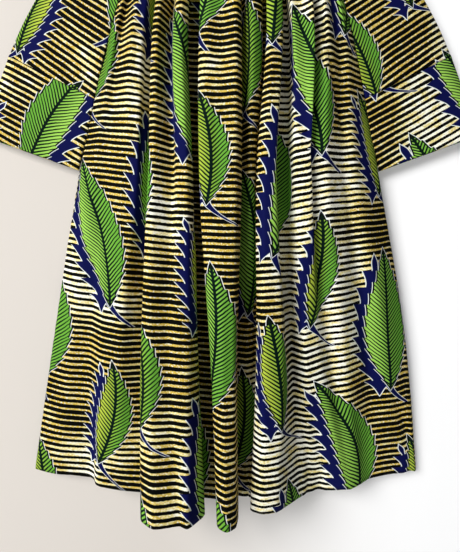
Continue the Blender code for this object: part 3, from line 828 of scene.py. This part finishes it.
def hook_wire():
    """The hook: a circle of 1.1 mm radius along the stem, a small S bend and three quarters of a ring."""
    ring = HOOK_RADIUS + HOOK_WIRE / 2
    turn = np.radians(np.linspace(200, -50, 70))
    bend = np.stack([ring * np.cos(turn), -HOOK_RADIUS + ring * np.sin(turn)], 1)
    s = np.linspace(0, 1, 24)[1:]
    end = np.array([HOOK_SWAY, -HOOK_RADIUS - ring - 0.002])
    leaves_ring = 0.022 * np.array([np.sin(turn[-1]), -np.cos(turn[-1])])
    meets_stem = np.array([0, -0.012])
    into = cubic(1, s[:, None], bend[-1], end, leaves_ring, meets_stem)
    stem = np.stack([HOOK_SWAY * (1 - ease(s)), end[1] + (ARM_TOP_Z - end[1]) * s], 1)
    route = np.concatenate([bend, into, stem])
    path = np.stack([route[:, 0], 0 * route[:, 0], route[:, 1]], 1)
    tangent = np.gradient(path, axis=0)
    tangent /= np.linalg.norm(tangent, axis=1, keepdims=True)
    sideways = np.array([0, 1.0, 0]) + 0 * path
    up = np.cross(tangent, sideways)
    angle = np.linspace(0, 2 * np.pi, 20, endpoint=False)[None, :, None]
    radius = HOOK_WIRE / 2 * np.sqrt(np.clip(np.arange(len(path)) / 4, 0.05, 1))[:, None, None]
    return path[:, None] + radius * (np.cos(angle) * sideways[:, None] + np.sin(angle) * up[:, None])


hook = ring_mesh("hanger_wire", hook_wire())

# %% [markdown]
# ## What each piece stands for
#
# Each piece rides the one body and takes the place of its plain solid, which is hidden.

# %% Pieces
cloth = {
    "front_panel": front_panel,
    "back_panel": back_panel,
    "sleeve_upper_left": sleeves["upper", "left"][0],
    "sleeve_upper_right": sleeves["upper", "right"][0],
    "sleeve_bell_left": sleeves["bell", "left"][0],
    "sleeve_bell_right": sleeves["bell", "right"][0],
}
for node, piece in cloth.items():
    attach(piece, "root")
    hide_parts(node)
for piece, node, material in ((band, "neckband", "band_cotton"), (arms, "hanger_arms", "beech"),
                              (hook, "hanger_hook", "steel")):
    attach(piece, "root")
    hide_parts(node)


# %% [markdown]
# ## Wiring the print
#
# The print is drawn by shader nodes, so it stays sharp at any distance. Dozens of Math nodes wired one by
# one are hard to read, so one small class stands for a value in the node tree. Plain arithmetic on it adds
# the nodes, and the formulas below read as they would on paper.

# %% Values in a node tree
class Value:
    """One output socket. Arithmetic on it adds Math nodes and gives a new Value."""

    def __init__(self, wires, socket):
        self.wires, self.socket = wires, socket

    def do(self, operation, *others):
        """One Math node, by Blender's own name for it."""
        return self.wires.math(operation, self, *others)

    def __add__(self, other):
        return self.do("ADD", other)

    def __sub__(self, other):
        return self.do("SUBTRACT", other)

    def __rsub__(self, other):
        return self.wires.math("SUBTRACT", other, self)

    def __mul__(self, other):
        return self.do("MULTIPLY", other)

    def __truediv__(self, other):
        return self.do("DIVIDE", other)

    def __rtruediv__(self, other):
        return self.wires.math("DIVIDE", other, self)

    def __mod__(self, other):
        return self.do("FLOORED_MODULO", other)

    def __pow__(self, other):
        return self.do("POWER", other)

    def __abs__(self):
        return self.do("ABSOLUTE")

    def step(self, low, high, to_low=0.0, to_high=1.0, kind="SMOOTHSTEP"):
        """low..high turned into to_low..to_high by a soft step, and held at both ends."""
        item = self.wires.node("ShaderNodeMapRange", interpolation_type=kind)
        return self.wires.fed(item, dict(enumerate((self, low, high, to_low, to_high))))

# %% [markdown]
# ## Adding nodes
#
# Each method here adds one node and hands back its output. An input takes a link or a number alike, so a
# call never has to say which of the two it is given.

# %% Wiring helper
class Wires:
    """Adds nodes to one tree, feeds their inputs and gives their outputs as Values."""

    def __init__(self, tree):
        self.tree = tree

    def node(self, kind, **settings):
        """A new node of the given kind, with its settings."""
        item = self.tree.nodes.new(kind)
        for key, value in settings.items():
            setattr(item, key, value)
        return item

    def feed(self, socket, given):
        """Link an input to a Value or to a socket, or set its own number or colour."""
        given = given.socket if isinstance(given, Value) else given
        if isinstance(given, bpy.types.NodeSocket):
            self.tree.links.new(given, socket)
        else:
            socket.default_value = given

    def fed(self, item, inputs, output=0):
        """Feed a node's inputs, by number or by name, and give one of its outputs."""
        for key, given in inputs.items():
            self.feed(item.inputs[key], given)
        return Value(self, item.outputs[output])

    def math(self, operation, *given):
        """One Math node."""
        return self.fed(self.node("ShaderNodeMath", operation=operation), dict(enumerate(given)))

    def mix(self, share, first, second):
        """A colour: first where the share is 0, second where it is 1."""
        return self.fed(self.node("ShaderNodeMix", data_type="RGBA"), {0: share, 6: first, 7: second}, 2)

    def split(self, vector):
        """x and y of a vector."""
        item = self.node("ShaderNodeSeparateXYZ")
        return self.fed(item, {0: vector}), self.fed(item, {}, 1)

    def noise(self, vector, scale, detail=2.0, roughness=0.5):
        """A noise from 0 to 1, about 0.5 in the middle, with lumps of about 1 / scale."""
        inputs = {"Vector": vector, "Scale": scale, "Detail": detail, "Roughness": roughness}
        return self.fed(self.node("ShaderNodeTexNoise"), inputs)

    def streaks(self, across, up, detail=2.0, roughness=0.5):
        """Noise over two lengths, each already stretched by its own scale."""
        place_at = self.fed(self.node("ShaderNodeCombineXYZ"), {0: across, 1: up})
        return self.noise(place_at, 1.0, detail, roughness)

    def group(self, name, **values):
        """Use a node group, where underscores stand for spaces, and give its outputs by name."""
        item = self.node("ShaderNodeGroup", node_tree=bpy.data.node_groups[name])
        for key, value in values.items():
            self.feed(item.inputs[key.replace("_", " ")], value)
        return {socket.name: Value(self, socket) for socket in item.outputs}

# %% [markdown]
# ## Node groups
#
# An effect that is used more than once is a node group. It is built once, with named inputs, and every
# material that uses it sets its own values. It could be copied into each material instead, but then every
# later change would have to be made twice.

# %% New node groups
FLOAT, VECTOR, COLOUR = "NodeSocketFloat", "NodeSocketVector", "NodeSocketColor"


def new_group(name, inputs, outputs):
    """An empty node group: its wires, its inputs by name, and a function that sets one of its outputs."""
    tree = bpy.data.node_groups.new(name, "ShaderNodeTree")
    for direction, sockets in (("INPUT", inputs), ("OUTPUT", outputs)):
        for kind, titles in sockets.items():
            for title in titles:
                tree.interface.new_socket(title, in_out=direction, socket_type=kind)
    wires = Wires(tree)
    start, end = wires.node("NodeGroupInput"), wires.node("NodeGroupOutput")
    given = {socket.name: Value(wires, socket) for socket in start.outputs if socket.name}
    return wires, given, lambda title, value: wires.feed(end.inputs[title], value)


def count_nodes(name):
    """Print how many nodes a group has."""
    print(f"{name}: {len(bpy.data.node_groups[name].nodes)} nodes")

# %% [markdown]
# ## Stripes
#
# Wax-resist cloth is printed with dye that can't reach where the wax was. So its lines have ragged edges,
# and their width changes from place to place with the wax. A stripe here is a band of the height along the
# cloth. A slow noise bends it, a fine one frays its edges, and a third makes it heavier or lighter. In some
# zones the dye took less: there the stripes are thin and the ground is pale. One such zone is a strip to
# the right of the dress's middle, which leans a little.

# %% Stripe group
def make_stripes():
    """Ink is 1 where 2 |fraction of the pitch - 0.5|, frayed, is under the stripe's share of the pitch.

    The share is Share - Swing * (0.9 zone + weight). Zone is 1 where the ground is pale.
    """
    wires, given, out = new_group(
        "Wax stripes", {VECTOR: ["Cloth"], FLOAT: ["Pitch", "Share", "Swing"]}, {FLOAT: ["Ink", "Zone"]})
    u, v = wires.split(given["Cloth"])
    bent = v + wires.noise(given["Cloth"], 11.0) * 0.005
    apart = abs((bent / given["Pitch"]).do("FRACT") - 0.5) * 2.0
    fray = (wires.streaks(u * 260.0, v * 420.0, 3.0) - 0.5) * 0.4
    pale_strip = abs(u - v * 0.3 - 0.20).step(0.05, 0.20, 0.15, -0.11)
    zone = (wires.noise(given["Cloth"], 5.5, 1.0) + pale_strip).step(0.36, 0.62)
    weight = wires.streaks(u * 9.0, v * 16.0, 1.0).step(0.3, 0.7, -0.75, 0.25)
    share = given["Share"] - (zone * 0.90 + weight) * given["Swing"]
    out("Ink", (apart + fray - share).step(-0.04, 0.04, 1.0, 0.0))
    out("Zone", zone)


make_stripes()
count_nodes("Wax stripes")

# %% [markdown]
# ## The ground under the stripes
#
# Between the stripes the cloth is mottled from gold over cream to white, with short flecks along the weft
# where the wax cracked. One long streaky noise picks the colour, and the height of a second, much finer
# one picks the white and the brown flecks.

# %% Ground group
def make_ground():
    """Ochre, cream, then white as the streaks rise, with white and brown flecks laid over them."""
    wires, given, out = new_group(
        "Wax ground", {VECTOR: ["Cloth"], FLOAT: ["Zone"], COLOUR: ["Ochre", "Cream", "White", "Brown"]},
        {COLOUR: ["Colour"]})
    u, v = wires.split(given["Cloth"])
    pale = wires.streaks(u * 34.0, v * 80.0, 3.0, 0.6) + given["Zone"] * 0.29
    fleck = wires.streaks(u * 330.0, v * 420.0, 2.0, 0.6)
    base = wires.mix(pale.step(0.50, 0.66), given["Ochre"], given["Cream"])
    base = wires.mix(pale.step(0.68, 0.84), base, given["White"])
    base = wires.mix(fleck.step(0.52, 0.64, 0.0, 0.85), base, given["White"])
    out("Colour", wires.mix(fleck.step(0.30, 0.44, 0.45, 0.0), base, given["Brown"]))


make_ground()
count_nodes("Wax ground")

# %% [markdown]
# ## The shape of a leaf
#
# The cloth carries large green leaves with dark blue shadows. Here it is a plain pointed leaf in its own
# drop layout. It could be a drawing on an image, but a formula stays sharp and can be reused: a bent
# midrib, and a half width that rises and falls along it. Outline, veins and shadow all follow from those.

# %% Leaf shape group
def make_leaf_shape():
    """Coordinates inside one leaf, from the place relative to its middle, in metres.

    Along is t, 0 at the base and 1 at the tip. The midrib bends as 4 t (1 - t). The half width is
    width * (3.2 t (1 - t) + 1.1 t (1 - t)^2), with teeth that fade to nothing at the base and the tip.
    Inside is the half width minus the distance from the midrib, so it is 0 on the edge and negative outside.
    """
    _, given, out = new_group(
        "Leaf shape", {FLOAT: ["Side", "Height", "Length", "Width", "Bend", "Teeth", "Tooth Depth"]},
        {FLOAT: ["Inside", "Across", "Along"]})
    t = given["Height"] / given["Length"] + 0.5
    hump = t * (1.0 - t)
    across = given["Side"] - hump * 4.0 * given["Bend"]
    tooth = ((t * given["Teeth"]).do("FRACT") ** 1.6 - 0.5) * hump.step(0.0, 0.12)
    half = hump * ((1.0 - t) * 1.1 + 3.2) * given["Width"] + tooth * given["Tooth Depth"]
    out("Inside", half - abs(across))
    out("Across", across)
    out("Along", t)


make_leaf_shape()
count_nodes("Leaf shape")

# %% [markdown]
# ## Where the leaves lie
#
# The cloth is divided into equal cells, and every other column of them is shifted by a part of a cell. That
# is what a printer calls a drop layout. Large and small leaves take turns, and lean to either side.

# %% Layout of the leaves
COLUMN_DROP = 0.17
SMALL, SMALL_TO_LARGE = 0.85, 0.30
LEAF_LENGTH, LEAF_WIDTH, LEAF_BEND = 0.205, 0.036, 0.016


def leaf_place(given, u, v):
    """Lengths across and along the leaf of the cell that (u, v) is in, and 1 where that leaf is large."""
    cell_u = (u + given["Shift Across"]) / given["Cell Width"]
    column = cell_u.do("FLOOR")
    cell_v = (v + given["Shift Up"]) / given["Cell Height"] + column % 2.0 * COLUMN_DROP
    large = (cell_v.do("FLOOR") + column) % 2.0
    x = (cell_u.do("FRACT") - 0.5) * given["Cell Width"]
    y = (cell_v.do("FRACT") - 0.5) * given["Cell Height"]
    turn = given["Turn"] * (large * 1.3 - 0.55)
    cosine, sine = turn.do("COSINE"), turn.do("SINE")
    return x * cosine + y * sine, y * cosine - x * sine, large


print(f"leaves: {SMALL * LEAF_LENGTH:.3f} and {(SMALL + SMALL_TO_LARGE) * LEAF_LENGTH:.3f} m long")

# %% [markdown]
# ## Stem and body of a leaf
#
# The body is lime or olive on one side and green on the other, with dark ribs that slant up from the midrib.
# The stem is a dark blue band that bends away under the leaf and grows thinner.

# %% Stem and body of a leaf
STEM_START, STEM_BOW = -0.47, 0.45
RIB_PITCH, RIB_SLANT = 0.0064, 0.85


def leaf_stem(side, height, length):
    """Masks of the stem and of its pale rim, a tapered band about the curve side = 0.45 run^1.5.

    run is how far below the leaf's base a point is, as a share of the leaf's length.
    """
    run = STEM_START - height / length
    apart = abs(side - run.do("MAXIMUM", 0.0) ** 1.5 * STEM_BOW)
    edge = apart - run.step(-0.06, 0.22, 0.0064, 0.0022)
    ends = run.step(-0.10, -0.09) * run.step(0.22, 0.23, 1.0, 0.0)
    return edge.step(-0.0003, 0.0003, 1.0, 0.0) * ends, edge.step(0.0008, 0.0014, 1.0, 0.0) * ends


def leaf_body(wires, given, leaf, large, length, width):
    """Two greens with ribs, a midrib and an outline.

    A rib is dark where |fraction of (along - 0.85 away) over the ribs' pitch - 0.5| is small, and it grows
    thinner from the midrib to the edge.
    """
    across, away = leaf["Across"], abs(leaf["Across"])
    slant = leaf["Along"] * length - away * RIB_SLANT + wires.noise(given["Cloth"], 40.0) * 0.004
    rib = abs((slant / RIB_PITCH).do("FRACT") - 0.5)
    rib_half = (away / width).step(0.0, 0.9, 0.30, 0.13, kind="LINEAR")
    body = wires.mix(large, given["Olive"], given["Lime"])
    body = wires.mix((across / width).step(-0.9, 0.7), body, given["Green"])
    body = wires.mix((rib - rib_half).step(-0.05, 0.05, 1.0, 0.0), body, given["Vein"])
    body = wires.mix(away.step(0.0022, 0.0027, 1.0, 0.0), body, given["Vein"])
    return wires.mix(leaf["Inside"].step(0.0017, 0.0023, 1.0, 0.0), body, given["Outline"])


print(f"ribs: one every {1000 * RIB_PITCH:.1f} mm")

# %% [markdown]
# ## Leaves with their shadows
#
# The shadow is the same leaf once more, moved aside, with fewer and deeper teeth. A thin pale line runs
# round both of them and round the stem, because on wax print the wax leaves such a rim about each shape.

# %% Leaf column group
SHADOW_SIDE, SHADOW_DOWN = 0.021, 0.010


def make_leaves():
    """A leaf in every cell: its shadow and stem, then the pale rim, then the leaf's ink line and body."""
    wires, given, out = new_group(
        "Leaf column",
        {VECTOR: ["Cloth"], FLOAT: ["Cell Width", "Cell Height", "Shift Across", "Shift Up", "Turn"],
         COLOUR: ["Lime", "Green", "Olive", "Vein", "Outline", "Halo", "Shadow"]},
        {FLOAT: ["Cover"], COLOUR: ["Colour"]})
    side, height, large = leaf_place(given, *wires.split(given["Cloth"]))
    size = large * SMALL_TO_LARGE + SMALL
    length, width = size * LEAF_LENGTH, size * LEAF_WIDTH
    sizes = {"Length": length, "Width": width, "Bend": size * LEAF_BEND}
    leaf = wires.group("Leaf shape", Side=side, Height=height, Teeth=13.0, Tooth_Depth=0.005, **sizes)
    shade = wires.group("Leaf shape", Side=side + SHADOW_SIDE, Height=height + SHADOW_DOWN, Teeth=9.0,
                        Tooth_Depth=0.017, **sizes)
    stem, stem_rim = leaf_stem(side, height, length)
    shadow = shade["Inside"].step(-0.0004, 0.0004).do("MAXIMUM", stem)
    shadow_rim = shade["Inside"].step(-0.0020, -0.0014).do("MAXIMUM", stem_rim)
    rim = leaf["Inside"].step(-0.0021, -0.0015)
    colour = wires.mix(shadow, given["Halo"], given["Shadow"])
    colour = wires.mix(rim, colour, given["Halo"])
    body = leaf_body(wires, given, leaf, large, length, width)
    out("Colour", wires.mix(leaf["Inside"].step(-0.0010, -0.0004), colour, body))
    out("Cover", shadow_rim.do("MAXIMUM", shadow).do("MAXIMUM", rim))


make_leaves()
count_nodes("Leaf column")

# %% [markdown]
# ## Cotton
#
# Plain-woven cotton is matt. Close up, its threads catch the light as a fine basket of bumps, and along a
# hem the stitches make a row of small dents. A bump is enough for both, because neither changes an outline.

# %% Cotton surface group
def make_cotton():
    """A bump of 0.35 sin(u) sin(v) for the weave, plus a fine noise for slubs, minus a row of stitches."""
    wires, given, out = new_group(
        "Cotton surface", {VECTOR: ["Cloth"], FLOAT: ["Thread", "Hem Height", "Depth"]},
        {VECTOR: ["Normal"]})
    u, v = wires.split(given["Cloth"])
    turns = 2 * np.pi / given["Thread"]
    weave = (u * turns).do("SINE") * (v * turns).do("SINE")
    slub = wires.streaks(u * 700.0, v * 2600.0)
    dash = abs((u / 0.003).do("FRACT") - 0.5).step(0.30, 0.36, 1.0, 0.0)
    stitch = dash * abs(v - given["Hem Height"]).step(0.0003, 0.0006, 1.0, 0.0)
    height = weave * 0.35 + slub - stitch * 2.0
    bump = {"Strength": 0.5, "Distance": given["Depth"], "Height": height}
    out("Normal", wires.fed(wires.node("ShaderNodeBump"), bump))


make_cotton()
count_nodes("Cotton surface")

# %% [markdown]
# ## Colours and materials
#
# Dyes are given as a screen shows them, because that is how they are picked, and turned into the linear
# colours that shaders work with. Roughness, metal and gloss are the same all over each piece here, so they
# are set on the shader's own sockets.

# %% Colours and the material helper
def dye(red, green, blue):
    """A colour as the screen shows it, 0 to 255, turned into the linear one that shaders use."""
    shown = np.array([red, green, blue]) / 255
    linear = np.where(shown < 0.04045, shown / 12.92, ((shown + 0.055) / 1.055) ** 2.4)
    return (*linear.tolist(), 1.0)


INK = dye(3, 4, 2)
OCHRE, CREAM, WHITE, BROWN = dye(208, 178, 74), dye(233, 217, 142), dye(249, 247, 230), dye(164, 132, 44)
LIME, GREEN, OLIVE = dye(157, 207, 88), dye(101, 163, 56), dye(178, 195, 68)
VEIN, NAVY, HALO = dye(5, 24, 16), dye(10, 15, 68), dye(226, 232, 232)


def new_material(name, roughness, metallic=0.0, gloss=0.5):
    """A material with one Principled shader, and the wires of its tree."""
    material = bpy.data.materials.new(name)
    material.use_nodes = True
    shader = material.node_tree.nodes["Principled BSDF"]
    shader.inputs["Roughness"].default_value = roughness
    shader.inputs["Metallic"].default_value = metallic
    shader.inputs["Specular IOR Level"].default_value = gloss
    print(f"{name}: roughness {roughness}, metallic {metallic}")
    return material, Wires(material.node_tree), shader


def object_place(wires):
    """The place on a piece, in metres from the origin."""
    return wires.node("ShaderNodeTexCoord").outputs["Object"]

# %% [markdown]
# ## The printed cotton and the neckband
#
# Layer by layer, as it is printed: the mottled ground, the stripes, then two sets of leaves that lean
# towards each other. All of it reads the lengths of cloth in the UV map, so the print follows every fold.
# The neckband is plain black cotton of the same weave, a little worn.

# %% Cotton materials
THREAD, PRINT_HEM, BAND_HEM = 0.0007, 0.012, 0.0098
LEAF_SETS = [
    # shift across, shift up, turn
    (0.03, 0.02, 0.16),
    (0.155, 0.17, -0.13),
]


def printed_cotton():
    """Ground, ink and leaves, each mixed over the one before by its own mask."""
    material, wires, shader = new_material("printed_cotton_look", 0.78, gloss=0.05)
    cloth_map = wires.node("ShaderNodeUVMap", uv_map="Cloth").outputs[0]
    stripes = wires.group("Wax stripes", Cloth=cloth_map, Pitch=STRIPE_PITCH, Share=0.625, Swing=0.20)
    ground = wires.group("Wax ground", Cloth=cloth_map, Zone=stripes["Zone"], Ochre=OCHRE, Cream=CREAM,
                         White=WHITE, Brown=BROWN)
    colour = wires.mix(stripes["Ink"], ground["Colour"], INK)
    for shift_across, shift_up, turn in LEAF_SETS:
        leaves = wires.group(
            "Leaf column", Cloth=cloth_map, Cell_Width=0.25, Cell_Height=0.29, Shift_Across=shift_across,
            Shift_Up=shift_up, Turn=turn, Lime=LIME, Green=GREEN, Olive=OLIVE, Vein=VEIN, Outline=INK,
            Halo=HALO, Shadow=NAVY)
        colour = wires.mix(leaves["Cover"], colour, leaves["Colour"])
    cotton = wires.group("Cotton surface", Cloth=cloth_map, Thread=THREAD, Hem_Height=PRINT_HEM, Depth=0.0002)
    wires.feed(shader.inputs["Base Color"], colour)
    wires.feed(shader.inputs["Normal"], cotton["Normal"])
    return material


def band_cotton():
    """Black, a shade lighter where a fine noise is high."""
    material, wires, shader = new_material("band_cotton_look", 0.82, gloss=0.15)
    cloth_map = wires.node("ShaderNodeUVMap", uv_map="Cloth").outputs[0]
    worn = wires.mix(wires.noise(cloth_map, 320.0, 3.0), (0.010, 0.012, 0.010, 1), (0.030, 0.032, 0.028, 1))
    cotton = wires.group("Cotton surface", Cloth=cloth_map, Thread=THREAD, Hem_Height=BAND_HEM, Depth=0.0003)
    wires.feed(shader.inputs["Base Color"], worn)
    wires.feed(shader.inputs["Normal"], cotton["Normal"])
    return material

# %% [markdown]
# ## Wood and steel
#
# The arms are pale beech under a thin varnish, with a grain that runs along them and small dark pores. The
# hook is bright steel wire, with faint scuffs. Both patterns read the place on the piece itself.

# %% Hanger materials
def beech():
    """A noise stretched along x for the grain, and dark pores where a finer one is high."""
    material, wires, shader = new_material("beech_look", 0.42)
    stretched = {"Vector": object_place(wires), "Scale": (14, 160, 160)}
    stretch = wires.fed(wires.node("ShaderNodeMapping"), stretched)
    grain = wires.mix(wires.noise(stretch, 1.0, 4.0, 0.6), (0.36, 0.19, 0.085, 1), (0.60, 0.40, 0.22, 1))
    pore = wires.noise(stretch, 7.0, 2.0).step(0.62, 0.70)
    wires.feed(shader.inputs["Base Color"], wires.mix(pore, grain, (0.25, 0.12, 0.05, 1)))
    return material


def steel():
    """Two near greys mixed by a very fine noise."""
    material, wires, shader = new_material("steel_look", 0.18, 1.0)
    scuff = wires.noise(object_place(wires), 900.0, 2.0)
    wires.feed(shader.inputs["Base Color"], wires.mix(scuff, (0.62, 0.62, 0.63, 1), (0.74, 0.74, 0.75, 1)))
    return material


cotton_print = printed_cotton()
for piece in cloth.values():
    piece.data.materials.append(cotton_print)
for piece, material in ((band, band_cotton()), (arms, beech()), (hook, steel())):
    piece.data.materials.append(material)

# %% [markdown]
# ## Wall and floor
#
# The dress hangs in front of a plain pale wall. Its colour is painted shade: warm grey at the left, where the
# wall lies in shade, to white at the right. It also glows a little, a painted light that keeps the shadows on
# it faint. From behind, the wall is clear, so that the back of the dress can be seen.

# %% Wall and floor
def board(name, width, height, place_at, turned):
    """A flat rectangle for the wall or the floor."""
    mesh = bpy.data.meshes.new(name)
    x, y = width / 2, height / 2
    mesh.from_pydata([(-x, -y, 0), (x, -y, 0), (x, y, 0), (-x, y, 0)], [], [(0, 1, 2, 3)])
    item = bpy.data.objects.new(name, mesh)
    item.location, item.rotation_euler = place_at, turned
    bpy.context.scene.collection.objects.link(item)
    return item


FLOOR_Z, WALL_MIDDLE_Z = -1.6, -0.2
floor = board("floor", 8, 8, (0, 0, FLOOR_Z), (0, 0, 0))
wall = board("wall", 8, 5, (0, WALL_Y + 0.001, WALL_MIDDLE_Z), (np.pi / 2, 0, 0))
paint, wires, shader = new_material("pale_paint", 0.9)
shader.inputs["Base Color"].default_value = (0.95, 0.945, 0.94, 1)
floor.data.materials.append(paint)

paint, wires, shader = new_material("backdrop_painted_shade_glow", 0.9)
along_wall, _ = wires.split(object_place(wires))
# painted shade: the wall's colour darkens towards the left, as if less light fell there
painted_shade_on_wall = wires.mix(along_wall.step(-0.15, 0.35), (0.53, 0.485, 0.435, 1), (0.87, 0.87, 0.87, 1))
wires.feed(shader.inputs["Base Color"], painted_shade_on_wall)
# painted light: the wall glows a little, which lifts the shadows on it
shader.inputs["Emission Color"].default_value = (1, 1, 1, 1)
shader.inputs["Emission Strength"].default_value = 0.14
behind = wires.node("ShaderNodeNewGeometry").outputs["Backfacing"]
clear = wires.node("ShaderNodeBsdfTransparent").outputs[0]
both = wires.fed(wires.node("ShaderNodeMixShader"), {0: behind, 1: shader.outputs[0], 2: clear})
wires.feed(wires.tree.nodes["Material Output"].inputs["Surface"], both)
wall.data.materials.append(paint)
wall.visible_diffuse = wall.visible_glossy = wall.visible_transmission = wall.visible_shadow = False

# %% [markdown]
# ## Light and camera
#
# A pale sky lights every fold a little, and one large soft lamp at the upper left gives the folds their
# shape. The camera stands where the photographer did, close to the dress and level with its middle, with
# the lens of a phone's main camera.

# %% Light and camera
world = bpy.data.worlds.new("Pale room")
world.use_nodes = True
sky = world.node_tree.nodes["Background"]
sky.inputs["Color"].default_value = (0.93, 0.95, 1.0, 1)
sky.inputs["Strength"].default_value = 0.11
bpy.context.scene.world = world

LAMP_PLACE, LAMP_AIM = np.array([-3.0, -3.4, 1.0]), np.array([0.0, 0.0, -0.65])
LAMP_SIZE, LAMP_POWER = 2.4, 284
lamp_data = bpy.data.lights.new("Soft light", "AREA")
lamp_data.shape = "RECTANGLE"
lamp_data.size, lamp_data.size_y = LAMP_SIZE, LAMP_SIZE
lamp_data.energy = LAMP_POWER
lamp = bpy.data.objects.new("Soft light", lamp_data)
lamp.location = LAMP_PLACE
aim = LAMP_AIM - LAMP_PLACE
lamp.rotation_euler = (np.arccos(-aim[2] / np.linalg.norm(aim)), 0, np.arctan2(aim[1], aim[0]) - np.pi / 2)
bpy.context.scene.collection.objects.link(lamp)

CAMERA_FROM_WALL, CAMERA_Z, LENS = 0.72, -0.775, 27.07
camera_data = bpy.data.cameras.new("Camera")
camera_data.lens = LENS
camera = bpy.data.objects.new("Camera", camera_data)
camera.location = (0, WALL_Y - CAMERA_FROM_WALL, CAMERA_Z)
camera.rotation_euler = (np.pi / 2, 0, 0)
bpy.context.scene.collection.objects.link(camera)
bpy.context.scene.camera = camera
bpy.context.scene.view_settings.view_transform = "Standard"
print(f"lamp {np.linalg.norm(aim):.2f} m from the dress, camera {CAMERA_FROM_WALL} m from the wall")

# %% [markdown]
# ## Finish
#
# The scene is brought up to date once more.

# %% Finish
bpy.context.view_layer.update()
